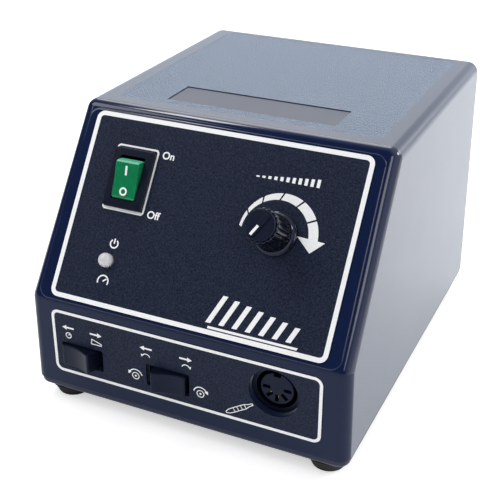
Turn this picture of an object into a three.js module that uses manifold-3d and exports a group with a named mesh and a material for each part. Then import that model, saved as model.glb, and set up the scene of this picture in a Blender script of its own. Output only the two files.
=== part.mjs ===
// Control unit of a dental laboratory micromotor, in millimetres with +Z up.
// A moulded case with a wedge front stands on four rubber feet. The slope carries the power rocker,
// the overload lamp and the speed knob. The upright face below it carries two rockers and the motor
// socket. The mains inlet, the fuse and the foot control jack are at the back. A transformer and a
// circuit board stand on the base tray.
import * as THREE from "three";
import { mergeVertices } from "three/addons/utils/BufferGeometryUtils.js";
import { ConvexGeometry } from "three/addons/geometries/ConvexGeometry.js";
import Module from "manifold-3d";

// Case
const caseWidth = 120;
const caseDepth = 150;
const caseHeight = 96;
const sideDraft = 1.9;
const rearDraft = 1.9;
const lowerFaceHeight = 37.2;
const slopeRun = 41.4;
const wall = 2.6;
const edgeRadius = 4;
const foldRadius = 4;
const rearTopRadius = 5;
const seamHeight = 3;
const seamGap = 0.3;
const trayInset = 0.4;
const trayFloor = 2.5;
const trayEdge = 1.5;
const lipThickness = 1.6;
const lipHeight = 3.5;

// Rim on the slope, printed overlays and top label
const rimInset = 3.4;
const rimRise = 0.4;
const rimLow = 0.2;
const rimHighMargin = 2.3;
const rimCorner = 4;
const overlayThickness = 0.5;
const overlayProud = 0.1;
const overlayClearance = 0.2;
const overlayCorner = 3;
const controlOverlaySide = 6.9;
const controlOverlayLow = 1.5;
const controlOverlayHigh = 3.2;
const socketOverlaySide = 9.2;
const socketOverlayLow = 8.3;
const socketOverlayHigh = 3.4;
const fieldSide = 9.4;
const fieldFront = 8;
const fieldRear = 7.7;
const fieldDepth = 0.2;
const labelWidth = 63.4;
const labelLength = 15.6;
const labelFront = 4.2;
const labelRecess = 1;
const labelThickness = 0.4;

// Gaps shared by pieces that rest on or pass through each other
const seatGap = 0.3;
const runGap = 0.3;
const shaftGap = 0.25;
const overrun = 5;
const weldDistance = 0.0001;

// Feet and the screws that close the case
const footHeight = 5.5;
const footTopRadius = 8.2;
const footBottomRadius = 6;
const footEdge = 0.8;
const footInset = 9.5;
const footRecess = 2.6;
const screwShankRadius = 1.5;
const screwHeadRadius = 3.4;
const screwHeadHeight = 1.9;
const screwReach = 5.2;
const bossRadius = 4;
const bossHeight = 7;
const bossWebLift = 4;

// Power switch on the slope
const powerInset = 28.1;
const powerUp = 46.3;
const powerFlangeWidth = 15;
const powerFlangeLength = 21;
const powerFlangeRise = 2;
const powerFlangeCorner = 1;
const powerBodyWidth = 12.5;
const powerBodyLength = 18.7;
const powerBodyDepth = 16;
const powerOpeningWidth = 9.5;
const powerOpeningLength = 15.5;
const powerFloor = 1.5;
const powerPivotDepth = 1.2;
const powerFaceRise = 5.2;
const powerFaceHalf = 6.4;
const powerEndHalf = 7.2;
const powerEndRise = 1.8;
const powerValley = 0.5;
const powerSkirtDrop = 3.4;
const powerTiltDegrees = 12.8;
const powerTrunnionRadius = 1;
const powerTrunnionReach = 0.8;
const lampRadius = 2;
const lampLength = 5.5;
const terminalCount = 3;
const terminalPitch = 6;
const terminalWidth = 4.8;
const terminalThickness = 0.8;
const terminalLength = 8.5;
const terminalSeat = 1;

// Overload lamp on the slope
const ledInset = 27.2;
const ledUp = 17.5;
const ledRadius = 2.5;
const ledFlangeRadius = 2.9;
const ledRise = 3.4;
const ledFlangeDrop = 8.2;
const ledFlangeHeight = 1;
const ledLeadLength = 6;
const ledLeadSide = 0.6;
const ledLeadPitch = 2.54;
const clipRadius = 4.4;
const clipHeight = 3.4;

// Speed knob and potentiometer on the slope
const knobInset = 35.1;
const knobUp = 38;
const knobLift = 0.6;
const knobHeight = 15.8;
const knobSkirtRadius = 7.3;
const knobSkirtHeight = 1.8;
const knobFlareHeight = 3.4;
const knobGripRadius = 5.75;
const knobFluteCount = 18;
const knobFluteDepth = 0.35;
const knobEdge = 0.5;
const knobCavityRadius = 6;
const knobCavityHeight = 3;
const knobRestDegrees = 150;
const capRadius = 5.1;
const capThickness = 0.9;
const capStemRadius = 3.6;
const capStemLength = 1.8;
const capBarWidth = 2;
const capBarRise = 0.3;
const potRadius = 8.5;
const potDepth = 9.5;
const shaftRadius = 3;
const shaftLength = 13;
const bushWall = 0.55;
const bushRise = 3.3;
const nutAcrossFlats = 10;
const nutThickness = 1.9;
const washerRadius = 5.4;
const washerThickness = 0.5;

// Two concave rockers on the lower face
const feedInset = 21.1;
const directionX = -5.1;
const rockerUp = 16.8;
const slotLength = 16.5;
const slotHeight = 8.5;
const paddleHalf = 6.1;
const paddleFaceRise = 7.68;
const paddleDip = 1;
const paddleEndHalf = 6.3;
const paddleSkirtDrop = 1.5;
const paddleTiltDegrees = 11.6;
const paddlePivotDepth = 4.5;
const paddleTrunnionRadius = 0.9;
const paddleTrunnionReach = 0.8;
const rockerCavityLength = 14.6;
const rockerBodyWall = 2.2;
const rockerBodyDepth = 12;
const rockerBodyFloor = 1.5;

// Motor socket on the lower face
const socketInset = 26.1;
const socketUp = 23.1;
const socketHoleRadius = 8.8;
const socketShellRadius = 10.2;
const socketDepth = 12.5;
const socketGrooveRadius = 7.25;
const socketGrooveDepth = 9;
const socketInsertRadius = 5.95;
const socketFlangeWidth = 27;
const socketFlangeLength = 19;
const socketFlangeThickness = 1.6;
const socketFlangeCorner = 2;
const keywayWidth = 2.6;
const keywayDepth = 1.5;
const contactCount = 5;
const contactRingRadius = 3.7;
const contactSlotLength = 2.7;
const contactSlotWidth = 1.3;
const contactLength = 2;
const contactThickness = 0.6;
const contactDrop = 1.2;
const insertFloor = 1;

// Rear panel
const panelThickness = 1.5;
const panelSide = 7.2;
const panelLow = 8;
const panelHigh = 9;
const panelLap = 3;
const panelCorner = 3;
const ventCount = 9;
const ventPitch = 7;
const ventWidth = 3;
const ventLow = 56;
const ventHighMargin = 11;
const trayVentCount = 5;
const trayVentPitch = 8;
const trayVentLength = 36;

// Mains inlet
const inletInset = 31;
const inletUp = 34;
const inletFlangeWidth = 50;
const inletFlangeLength = 22.5;
const inletFlangeRise = 2.8;
const inletFlangeCorner = 4;
const inletBodyWidth = 27.5;
const inletBodyLength = 20;
const inletBodyDepth = 16;
const inletCavityWidth = 24.4;
const inletCavityLength = 17;
const inletCavityCorner = 2.5;
const inletFloor = 1.8;
const inletPinWidth = 2;
const inletPinHeight = 4;
const inletPinPitch = 14;
const inletPinOffset = 2;
const inletPinRecess = 3;
const inletTailLength = 6;
const inletScrewInset = 5;
const inletScrewHead = 2.9;
const inletScrewHeadHeight = 1.2;
const inletScrewLength = 7;

// Fuse holder
const fuseInset = 16;
const fuseUp = 43;
const fuseFlangeRadius = 7.5;
const fuseFlangeRise = 1.8;
const fuseBodyRadius = 6;
const fuseBodyDepth = 30;
const fuseFloor = 2;
const fuseBoreRadius = 3.7;
const fuseCapRadius = 6.2;
const fuseCapHeight = 4;
const fuseCapSlotWidth = 1.4;
const fuseCapSlotDepth = 1.5;
const fuseStemLength = 7;
const fuseLinkRadius = 2.6;

// Foot control jack
const jackUp = 22;
const jackBodySide = 15;
const jackBodyDepth = 20;
const jackBarrelRadius = 4.4;
const jackBarrelRise = 3.6;
const jackBoreRadius = 3.25;
const jackBoreDepth = 20;
const jackNutFlats = 11.5;
const jackNutThickness = 2;

// Transformer
const coreWidth = 57;
const coreHeight = 48;
const coreThickness = 30;
const coreSideInset = 10;
const coreRearInset = 75;
const legWidth = 19;
const windowWidth = 9.5;
const windingBulge = 10;
const windingCorner = 3;
const frameThickness = 1.2;
const frameFootLength = 8;
const framePegRadius = 1.6;
const framePegRise = 1.4;
const mountHeight = 2;
const mountRadius = 3.6;

// Circuit board and what stands on it
const boardSideInset = 7.5;
const boardFrontInset = 20.5;
const boardRearInset = 35.5;
const boardClearance = 4;
const boardThickness = 1.6;
const standoffHeight = 5;
const standoffRadius = 3;
const standoffInset = 4;
const pegRadius = 1.2;
const pegRise = 3.2;
const sinkLength = 46;
const sinkHeight = 34;
const sinkBase = 3;
const sinkFinCount = 6;
const sinkFinThickness = 1.4;
const sinkFinReach = 8;
const sinkEdge = 5;
const transistorWidth = 10;
const transistorHeight = 15;
const transistorThickness = 4.5;
const transistorLeadHeight = 4;
const transistorBodyHeight = 9.5;
const transistorTabThickness = 1.3;
const transistorLeadThickness = 1;
const transistorLeadSpan = 6;
const capacitorRadius = 8;
const capacitorHeight = 25;
const capacitorSideInset = 10.5;
const capacitorFrontInset = 13.5;
const capacitorPitch = 20;
const capacitorEdge = 0.8;

// Facets of round shapes
const fineSteps = 40;
const roundSteps = 28;
const smallSteps = 16;
const cornerSteps = 3;
const ballSteps = 16;

// Places that follow from the sizes above
const bendZ = footHeight + lowerFaceHeight;
const topZ = footHeight + caseHeight;
const seamZ = footHeight + seamHeight;
const trayFloorZ = footHeight + trayFloor;
const topRearY = caseDepth - rearDraft;
const slopeRise = topZ - bendZ;
const slopeLength = Math.hypot(slopeRun, slopeRise);
const slopeTilt = Math.atan2(slopeRun, slopeRise);
const rearHeight = Math.hypot(rearDraft, caseHeight);
const overlayFace = rimRise + overlayProud;
const innerFace = -(wall + seatGap);
const powerX = powerInset - caseWidth / 2;
const ledX = ledInset - caseWidth / 2;
const knobX = caseWidth / 2 - knobInset;
const feedX = feedInset - caseWidth / 2;
const socketX = caseWidth / 2 - socketInset;
const rearPanelWidth = 2 * (caseWidth / 2 - sideDraft - panelSide);
const rearPanelLength = rearHeight - panelLow - panelHigh;
const rearPanelMiddle = panelLow + rearPanelLength / 2;
const inletX = inletInset - rearPanelWidth / 2;
const fuseX = rearPanelWidth / 2 - fuseInset;
const jackX = fuseX;
const inletScrewPitch = inletFlangeWidth - 2 * inletScrewInset;
const ventHigh = rearHeight - panelHigh - ventHighMargin;
const coreX = coreSideInset + coreWidth / 2 - caseWidth / 2;
const coreY = caseDepth - coreRearInset;
const boardRight = caseWidth / 2 - boardSideInset;
const boardLeft = coreX + coreWidth / 2 + seatGap + frameThickness + boardClearance;
const boardX = (boardLeft + boardRight) / 2;
const boardWidth = boardRight - boardLeft;
const boardLength = caseDepth - boardFrontInset - boardRearInset;
const boardY = boardFrontInset + boardLength / 2;
const capacitorX = boardLeft + capacitorSideInset;
const capacitorFrontY = boardFrontInset + capacitorFrontInset;
const halfTurn = Math.PI;
const radians = THREE.MathUtils.degToRad;

const wasm = await Module();
wasm.setup();

const finishes = {
  navy: { color: 0x1f2a44, roughness: 0.4 },
  tray: { color: 0x232c42, roughness: 0.5 },
  overlay: { color: 0x262a38, roughness: 0.6 },
  label: { color: 0x4a4a50, roughness: 0.6 },
  black: { color: 0x141416, roughness: 0.45 },
  rubber: { color: 0x0e0e10, roughness: 0.9 },
  green: { color: 0x1e8f5e, roughness: 0.25 },
  clear: { color: 0xe8ece8, roughness: 0.2 },
  steel: { color: 0xa9adb2, roughness: 0.35, metalness: 1 },
  zinc: { color: 0xb9bcc0, roughness: 0.4, metalness: 1 },
  brass: { color: 0xc2a45a, roughness: 0.3, metalness: 1 },
  aluminium: { color: 0xb4b8bc, roughness: 0.45, metalness: 1 },
  iron: { color: 0x5f6266, roughness: 0.55, metalness: 1 },
  tape: { color: 0xc9a832, roughness: 0.5 },
  board: { color: 0x2d6b3f, roughness: 0.5 },
  amber: { color: 0xf2a33a, roughness: 0.3 },
};

const materials = {};
for (const [name, finish] of Object.entries(finishes)) {
  materials[name] = new THREE.MeshStandardMaterial(finish);
}

// A closed solid from a geometry, moved by a matrix when one is given
function solid(geometry, matrix) {
  const bare = geometry.clone();
  bare.deleteAttribute("normal");
  bare.deleteAttribute("uv");
  if (matrix) {
    bare.applyMatrix4(matrix);
  }
  const merged = mergeVertices(bare, weldDistance);
  const faces = [];
  for (let i = 0; i < merged.index.count; i += 3) {
    const [a, b, c] = [0, 1, 2].map((step) => merged.index.getX(i + step));
    if (a !== b && b !== c && c !== a) {
      faces.push(a, b, c);
    }
  }
  const vertProperties = merged.attributes.position.array;
  const triVerts = new Uint32Array(faces);
  return new wasm.Manifold(new wasm.Mesh({ numProp: 3, vertProperties, triVerts }));
}

function join(...bodies) {
  return bodies.reduce((sum, next) => sum.add(next));
}

function cut(body, ...tools) {
  return tools.reduce((rest, tool) => rest.subtract(tool), body);
}

function skin(body) {
  const mesh = body.getMesh();
  const geometry = new THREE.BufferGeometry();
  geometry.setAttribute("position", new THREE.BufferAttribute(mesh.vertProperties, 3));
  geometry.setIndex(new THREE.BufferAttribute(mesh.triVerts, 1));
  geometry.computeVertexNormals();
  return geometry;
}

// Turned shape about Z from [radius, height] points, in order up the outside and down the inside
function turned(profile, steps) {
  const points = profile.map(([radius, height]) => new THREE.Vector2(radius, height));
  if (points[0].x > 0) {
    points.push(points[0].clone());
  }
  return new THREE.LatheGeometry(points, steps).rotateX(halfTurn / 2);
}

function rod(radius, low, high, steps = roundSteps) {
  return turned([[0, low], [radius, low], [radius, high], [0, high]], steps);
}

function tube(inner, outer, low, high, steps = roundSteps) {
  return turned([[inner, low], [outer, low], [outer, high], [inner, high]], steps);
}

function block(width, length, low, high) {
  return new THREE.BoxGeometry(width, length, high - low).translate(0, 0, (high + low) / 2);
}

// Outline through the given corners, each rounded by the same radius
function roundedOutline(corners, radius) {
  const shape = new THREE.Shape();
  const count = corners.length;
  for (let i = 0; i < count; i += 1) {
    const corner = new THREE.Vector2(...corners[i]);
    const before = new THREE.Vector2(...corners[(i + count - 1) % count]);
    const after = new THREE.Vector2(...corners[(i + 1) % count]);
    const start = before.sub(corner).setLength(radius).add(corner);
    const end = after.sub(corner).setLength(radius).add(corner);
    if (i === 0) {
      shape.moveTo(start.x, start.y);
    } else {
      shape.lineTo(start.x, start.y);
    }
    shape.quadraticCurveTo(corner.x, corner.y, end.x, end.y);
  }
  return shape;
}

function rectangleCorners(width, length) {
  const [x, y] = [width / 2, length / 2];
  return [[-x, -y], [x, -y], [x, y], [-x, y]];
}

function slab(shape, low, high) {
  const settings = { depth: high - low, bevelEnabled: false, curveSegments: cornerSteps };
  return new THREE.ExtrudeGeometry(shape, settings).translate(0, 0, low);
}

function roundedSlab(width, length, radius, low, high) {
  return slab(roundedOutline(rectangleCorners(width, length), radius), low, high);
}

function polygonPrism(sides, radius, low, high) {
  const shape = new THREE.Shape();
  for (let i = 0; i < sides; i += 1) {
    const angle = (2 * halfTurn * i) / sides;
    const [x, y] = [radius * Math.cos(angle), radius * Math.sin(angle)];
    if (i === 0) {
      shape.moveTo(x, y);
    } else {
      shape.lineTo(x, y);
    }
  }
  return slab(shape, low, high);
}

// Matrix of a flat side of the case, from its lower to its upper edge
// Local Y runs up the side and local Z points out of it
function sideFrame(lowY, lowZ, highY, highZ, facing) {
  const up = new THREE.Vector3(0, highY - lowY, highZ - lowZ).normalize();
  const out = new THREE.Vector3(0, -facing * up.z, facing * up.y);
  const across = new THREE.Vector3().crossVectors(up, out);
  return new THREE.Matrix4().makeBasis(across, up, out).setPosition(0, lowY, lowZ);
}

const lowerFrame = sideFrame(0, footHeight, 0, bendZ, 1);
const slopeFrame = sideFrame(0, bendZ, slopeRun, topZ, 1);
const topFrame = sideFrame(slopeRun, topZ, topRearY, topZ, 1);
const rearFrame = sideFrame(caseDepth, footHeight, topRearY, topZ, -1);

function at(x, y = 0, z = 0) {
  return new THREE.Matrix4().makeTranslation(x, y, z);
}

function onFrame(frame, x, y, z = 0) {
  return frame.clone().multiply(at(x, y, z));
}

function group(parent, matrix) {
  const node = new THREE.Group();
  matrix.decompose(node.position, node.quaternion, node.scale);
  parent.add(node);
  return node;
}

function addPiece(parent, name, body, material, matrix) {
  const mesh = new THREE.Mesh(skin(body), materials[material]);
  mesh.name = name;
  if (matrix) {
    matrix.decompose(mesh.position, mesh.quaternion, mesh.scale);
  }
  parent.add(mesh);
  return mesh;
}

function halfWidthAt(z) {
  return caseWidth / 2 - (sideDraft * (z - footHeight)) / caseHeight;
}

// Outer surface of the case, or the surface that lies an inset inside it
function caseSurface(inset) {
  const slopeNormal = slopeTilt;
  const quarter = halfTurn / 2;
  const upper = quarter - slopeNormal;
  const rises = [0, slopeNormal / 2, slopeNormal, slopeNormal + upper / 3, slopeNormal + (2 * upper) / 3];
  const bendTangent = edgeRadius * Math.tan(slopeTilt / 2);
  const foldTangent = foldRadius * Math.tan((quarter - slopeTilt) / 2);
  const balls = [
    [edgeRadius, footHeight, edgeRadius],
    [edgeRadius, bendZ - bendTangent, edgeRadius],
    [slopeRun + foldTangent, topZ - foldRadius, foldRadius],
    [topRearY - rearTopRadius, topZ - rearTopRadius, rearTopRadius],
    [caseDepth - edgeRadius, footHeight, edgeRadius],
  ];
  const points = [];
  for (const [y, z, radius] of balls) {
    const reach = radius - inset;
    for (const side of [-1, 1]) {
      const centre = new THREE.Vector3(side * (halfWidthAt(z) - radius), y, z);
      points.push(new THREE.Vector3(0, 0, reach).add(centre));
      for (const rise of rises) {
        for (let i = 0; i < ballSteps; i += 1) {
          const turn = (2 * halfTurn * i) / ballSteps;
          const arm = reach * Math.cos(rise);
          const [x, y] = [arm * Math.cos(turn), arm * Math.sin(turn)];
          const spoke = new THREE.Vector3(x, y, reach * Math.sin(rise));
          points.push(spoke.add(centre));
        }
      }
    }
  }
  return new ConvexGeometry(points);
}

// Raised rim of the slope, whose sides follow the draft of the case
function rimOutline(inset) {
  const low = rimLow + inset;
  const high = slopeLength - rimHighMargin - inset;
  const share = slopeRise / slopeLength;
  const lowHalf = halfWidthAt(bendZ + low * share) - rimInset - inset;
  const highHalf = halfWidthAt(bendZ + high * share) - rimInset - inset;
  return roundedOutline([[-lowHalf, low], [lowHalf, low], [highHalf, high], [-highHalf, high]], rimCorner);
}

// Rectangle that keeps the given margins on a side of the case
function inMargins(side, low, high, faceLength, faceZ) {
  const width = 2 * (halfWidthAt(faceZ) - side);
  const length = faceLength - low - high;
  return { width, length, middle: low + length / 2 };
}

const [controlSide, controlLow, controlHigh] = [controlOverlaySide, controlOverlayLow, controlOverlayHigh];
const controlOverlay = inMargins(controlSide, controlLow, controlHigh, slopeLength, topZ);
const [socketSide, socketLow, socketHigh] = [socketOverlaySide, socketOverlayLow, socketOverlayHigh];
const socketOverlay = inMargins(socketSide, socketLow, socketHigh, lowerFaceHeight, footHeight);
const topField = inMargins(fieldSide, fieldFront, fieldRear, topRearY - slopeRun, topZ);
const labelMiddle = fieldFront + labelFront + labelLength / 2;
const footPlaces = [
  ["front_left", -1, footInset],
  ["front_right", 1, footInset],
  ["rear_left", -1, caseDepth - footInset],
  ["rear_right", 1, caseDepth - footInset],
];
const footX = caseWidth / 2 - footInset;
const bossTopZ = seamZ + bossHeight;
const screwTopZ = seamZ + screwReach;
const screwHoleRadius = screwShankRadius + runGap;
const bushRadius = shaftRadius + shaftGap + bushWall;

// Pocket that an overlay sits in, open at the given face height
function overlayPocket(frame, overlay, face) {
  const extra = 2 * overlayClearance;
  const floor = face + overlayProud - overlayThickness - seatGap;
  const [width, length] = [overlay.width + extra, overlay.length + extra];
  const pocket = roundedSlab(width, length, overlayCorner, floor, face + overrun);
  return solid(pocket, onFrame(frame, 0, overlay.middle));
}

function throughHole(geometry, frame, x, y) {
  return solid(geometry, onFrame(frame, x, y));
}

function addBosses(housing) {
  let body = housing;
  for (const [, side, y] of footPlaces) {
    const place = at(side * footX, y);
    const webLength = halfWidthAt(seamZ) - wall / 2 - footX;
    const web = block(webLength, bossRadius, seamZ + bossWebLift, bossTopZ);
    const hole = rod(screwHoleRadius, seamZ - overrun, screwTopZ + seatGap, smallSteps);
    body = join(body, solid(rod(bossRadius, seamZ, bossTopZ, smallSteps), place));
    body = join(body, solid(web, at(side * (footX + webLength / 2), y)));
    body = cut(body, solid(hole, place));
  }
  return body;
}

function upperHousing() {
  const extra = 2 * seatGap;
  const deep = -(wall + overrun);
  let body = solid(caseSurface(0));
  body = join(body, solid(slab(rimOutline(0), -wall / 2, rimRise), slopeFrame));
  body = cut(body, solid(caseSurface(wall)));
  body = cut(body, solid(block(caseWidth * 2, caseDepth * 3, footHeight - overrun, seamZ)));
  body = cut(body, overlayPocket(slopeFrame, controlOverlay, rimRise));
  body = cut(body, overlayPocket(lowerFrame, socketOverlay, 0));
  const field = roundedSlab(topField.width, topField.length, overlayCorner, -fieldDepth, overrun);
  const recessFloor = -fieldDepth - labelRecess;
  const recess = block(labelWidth + overlayClearance, labelLength + overlayClearance, recessFloor, overrun);
  body = cut(body, solid(field, onFrame(topFrame, 0, topField.middle)));
  body = cut(body, solid(recess, onFrame(topFrame, 0, labelMiddle)));
  const powerHole = block(powerBodyWidth + extra, powerBodyLength + extra, deep, overrun);
  const rockerHole = block(slotLength, slotHeight, deep, overrun);
  const windowShape = roundedSlab(
    rearPanelWidth - 2 * panelLap,
    rearPanelLength - 2 * panelLap,
    panelCorner,
    deep,
    overrun,
  );
  body = cut(
    body,
    throughHole(powerHole, slopeFrame, powerX, powerUp),
    throughHole(rod(ledRadius + seatGap, deep, overrun, smallSteps), slopeFrame, ledX, ledUp),
    throughHole(rod(bushRadius + seatGap, deep, overrun, roundSteps), slopeFrame, knobX, knobUp),
    throughHole(rockerHole, lowerFrame, feedX, rockerUp),
    throughHole(rockerHole, lowerFrame, directionX, rockerUp),
    throughHole(rod(socketHoleRadius, deep, overrun, fineSteps), lowerFrame, socketX, socketUp),
    throughHole(windowShape, rearFrame, 0, rearPanelMiddle),
  );
  return addBosses(body);
}

// Post on the tray floor with a locating peg on top
function peggedPost(radius, height, peg, pegHeight) {
  const floor = trayFloorZ - trayFloor / 2;
  const top = trayFloorZ + height;
  const pegTop = top + pegHeight;
  const profile = [[0, floor], [radius, floor], [radius, top], [peg, top], [peg, pegTop], [0, pegTop]];
  return turned(profile, smallSteps);
}

function baseTray() {
  const width = caseWidth - 2 * trayInset;
  const length = caseDepth - 2 * trayInset;
  const outline = roundedOutline(rectangleCorners(width, length), edgeRadius);
  const settings = {
    depth: seamZ - footHeight,
    bevelThickness: trayEdge,
    bevelSize: trayEdge,
    bevelOffset: -trayEdge,
    bevelSegments: 2,
    curveSegments: cornerSteps,
  };
  const shell = new THREE.ExtrudeGeometry(outline, settings);
  shell.translate(0, caseDepth / 2, footHeight + trayEdge);
  const lipOutset = 2 * (wall + seatGap + trayInset);
  const lipWidth = caseWidth - lipOutset;
  const lipLength = caseDepth - lipOutset;
  const lipTop = seamZ + lipHeight;
  const middle = at(0, caseDepth / 2);
  const lipLow = trayFloorZ - trayFloor / 2;
  const lip = solid(roundedSlab(lipWidth, lipLength, edgeRadius, lipLow, lipTop), middle);
  const insideWidth = lipWidth - 2 * lipThickness;
  const insideLength = lipLength - 2 * lipThickness;
  const inside = roundedSlab(insideWidth, insideLength, edgeRadius, trayFloorZ, lipTop + overrun);
  const edgeCut = block(caseWidth * 2, caseDepth * 2, seamZ - seamGap, lipTop + overrun);
  let body = cut(solid(shell), solid(edgeCut, middle));
  body = cut(join(body, lip), solid(inside, middle));
  for (const [, side, y] of footPlaces) {
    const hole = rod(screwHoleRadius, footHeight - overrun, trayFloorZ + overrun, smallSteps);
    body = cut(body, solid(hole, at(side * footX, y)));
  }
  for (let i = 0; i < trayVentCount; i += 1) {
    const x = coreX + (i - (trayVentCount - 1) / 2) * trayVentPitch;
    const vent = block(ventWidth, trayVentLength, footHeight - overrun, trayFloorZ + overrun);
    body = cut(body, solid(vent, at(x, coreY)));
  }
  for (const [x, y] of boardCorners()) {
    const standoff = peggedPost(standoffRadius, standoffHeight, pegRadius, pegRise);
    body = join(body, solid(standoff, at(boardX + x, boardY + y)));
  }
  for (const x of frameFootPlaces()) {
    const mount = peggedPost(mountRadius, mountHeight, framePegRadius, framePegRise);
    body = join(body, solid(mount, at(x, coreY)));
  }
  return body;
}

function boardCorners() {
  return rectangleCorners(boardWidth - 2 * standoffInset, boardLength - 2 * standoffInset);
}

function frameFootPlaces() {
  const reach = coreWidth / 2 + seatGap + frameThickness - frameFootLength / 2;
  return [coreX - reach, coreX + reach];
}

function rearPanel() {
  const sheet = roundedSlab(rearPanelWidth, rearPanelLength, panelCorner, -panelThickness, 0);
  const low = -panelThickness - overrun;
  let body = solid(sheet, at(0, rearPanelMiddle));
  const inletHole = block(inletBodyWidth + 2 * seatGap, inletBodyLength + 2 * seatGap, low, overrun);
  body = cut(
    body,
    solid(inletHole, at(inletX, inletUp)),
    solid(rod(fuseBodyRadius + seatGap, low, overrun), at(fuseX, fuseUp)),
    solid(rod(jackBarrelRadius + seatGap, low, overrun), at(jackX, jackUp)),
  );
  for (const side of [-1, 1]) {
    const hole = rod(screwHoleRadius, low, overrun, smallSteps);
    body = cut(body, solid(hole, at(inletX + (side * inletScrewPitch) / 2, inletUp)));
  }
  for (let i = 0; i < ventCount; i += 1) {
    const x = (i - (ventCount - 1) / 2) * ventPitch;
    const vent = block(ventWidth, ventHigh - ventLow, low, overrun);
    body = cut(body, solid(vent, at(x, (ventLow + ventHigh) / 2)));
  }
  return body;
}

function overlaySheet(overlay) {
  return solid(roundedSlab(overlay.width, overlay.length, overlayCorner, -overlayThickness, 0));
}

function controlOverlaySheet() {
  const middle = controlOverlay.middle;
  const low = -overlayThickness - overrun;
  const powerHole = block(powerBodyWidth + 2 * seatGap, powerBodyLength + 2 * seatGap, low, overrun);
  return cut(
    overlaySheet(controlOverlay),
    solid(powerHole, at(powerX, powerUp - middle)),
    solid(rod(ledRadius + seatGap, low, overrun, smallSteps), at(ledX, ledUp - middle)),
    solid(rod(bushRadius + seatGap, low, overrun), at(knobX, knobUp - middle)),
  );
}

function socketOverlaySheet() {
  const middle = socketOverlay.middle;
  const low = -overlayThickness - overrun;
  return cut(
    overlaySheet(socketOverlay),
    solid(block(slotLength, slotHeight, low, overrun), at(feedX, rockerUp - middle)),
    solid(block(slotLength, slotHeight, low, overrun), at(directionX, rockerUp - middle)),
    solid(rod(socketHoleRadius, low, overrun, fineSteps), at(socketX, socketUp - middle)),
  );
}

function foot() {
  const top = footHeight - seatGap;
  const recessRadius = screwHeadRadius + runGap;
  return solid(turned([
    [recessRadius, 0],
    [footBottomRadius - footEdge, 0],
    [footBottomRadius, footEdge],
    [footTopRadius, top],
    [screwHoleRadius, top],
    [screwHoleRadius, footRecess],
    [recessRadius, footRecess],
  ], roundSteps));
}

function footScrew() {
  const headTop = footRecess - seatGap;
  const headLow = headTop - screwHeadHeight;
  return solid(turned([
    [0, headLow],
    [screwHeadRadius, headLow],
    [screwHeadRadius, headTop],
    [screwShankRadius, headTop],
    [screwShankRadius, screwTopZ],
    [0, screwTopZ],
  ], smallSteps));
}

// Prism of a side profile drawn across the pivot axis, as wide as asked along X
function sideProfile(points, width) {
  const shape = new THREE.Shape(points.map(([y, z]) => new THREE.Vector2(y, z)));
  const prism = new THREE.ExtrudeGeometry(shape, { depth: width, bevelEnabled: false });
  const standing = new THREE.Matrix4().makeBasis(
    new THREE.Vector3(0, 1, 0),
    new THREE.Vector3(0, 0, 1),
    new THREE.Vector3(1, 0, 0),
  );
  return prism.translate(0, 0, -width / 2).applyMatrix4(standing);
}

function trunnion(radius, length) {
  return rod(radius, -length / 2, length / 2, smallSteps).rotateY(halfTurn / 2);
}

function powerSwitchBody() {
  const flangeLow = seatGap;
  const face = powerFlangeRise;
  const flange = solid(roundedSlab(powerFlangeWidth, powerFlangeLength, powerFlangeCorner, flangeLow, face));
  const cavityLow = powerFloor - powerBodyDepth;
  const opening = solid(block(powerOpeningWidth, powerOpeningLength, cavityLow, face + overrun));
  const outer = solid(block(powerBodyWidth, powerBodyLength, -powerBodyDepth, face - seatGap));
  const boreReach = powerOpeningWidth + 2 * powerTrunnionReach + runGap;
  const bore = solid(trunnion(powerTrunnionRadius + runGap, boreReach), at(0, 0, -powerPivotDepth));
  let body = cut(join(flange, outer), opening, bore);
  for (const y of terminalPlaces()) {
    const [slotWidth, slotLength] = [terminalWidth + 2 * seatGap, terminalThickness + 2 * seatGap];
    const slot = block(slotWidth, slotLength, -overrun, powerFloor + overrun);
    body = cut(body, solid(slot, at(0, y, -powerBodyDepth)));
  }
  return body;
}

function terminalPlaces() {
  return Array.from({ length: terminalCount }, (_, i) => (i - (terminalCount - 1) / 2) * terminalPitch);
}

function powerRocker() {
  const width = powerOpeningWidth - 2 * runGap;
  const half = [
    [powerEndHalf - runGap, -powerSkirtDrop],
    [powerEndHalf, powerEndRise],
    [powerFaceHalf, powerFaceRise],
  ];
  const mirrored = half.map(([y, z]) => [-y, z]).reverse();
  const profile = [...half, [0, powerFaceRise - powerValley], ...mirrored];
  const pin = trunnion(powerTrunnionRadius, powerOpeningWidth + powerTrunnionReach);
  return join(solid(sideProfile(profile, width)), solid(pin));
}

function powerLamp() {
  const low = powerFloor - powerBodyDepth + seatGap;
  return solid(rod(lampRadius, low, low + lampLength, smallSteps));
}

function powerTerminal() {
  const top = terminalSeat - powerBodyDepth;
  return solid(block(terminalWidth, terminalThickness, top - terminalLength, top));
}

// Concave face of a lower rocker, as points of a shallow arc
function paddleProfile() {
  const points = [[paddleEndHalf, -paddleSkirtDrop]];
  const faceSteps = 8;
  for (let i = 0; i <= faceSteps; i += 1) {
    const share = 1 - (2 * i) / faceSteps;
    points.push([paddleHalf * share, paddleFaceRise - paddleDip * (1 - share * share)]);
  }
  points.push([-paddleEndHalf, -paddleSkirtDrop]);
  return points;
}

function paddle() {
  const width = slotHeight - 2 * runGap;
  const pin = trunnion(paddleTrunnionRadius, slotHeight + paddleTrunnionReach);
  const along = new THREE.Matrix4().makeRotationZ(-halfTurn / 2);
  return join(solid(sideProfile(paddleProfile(), width), along), solid(pin, along));
}

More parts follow.
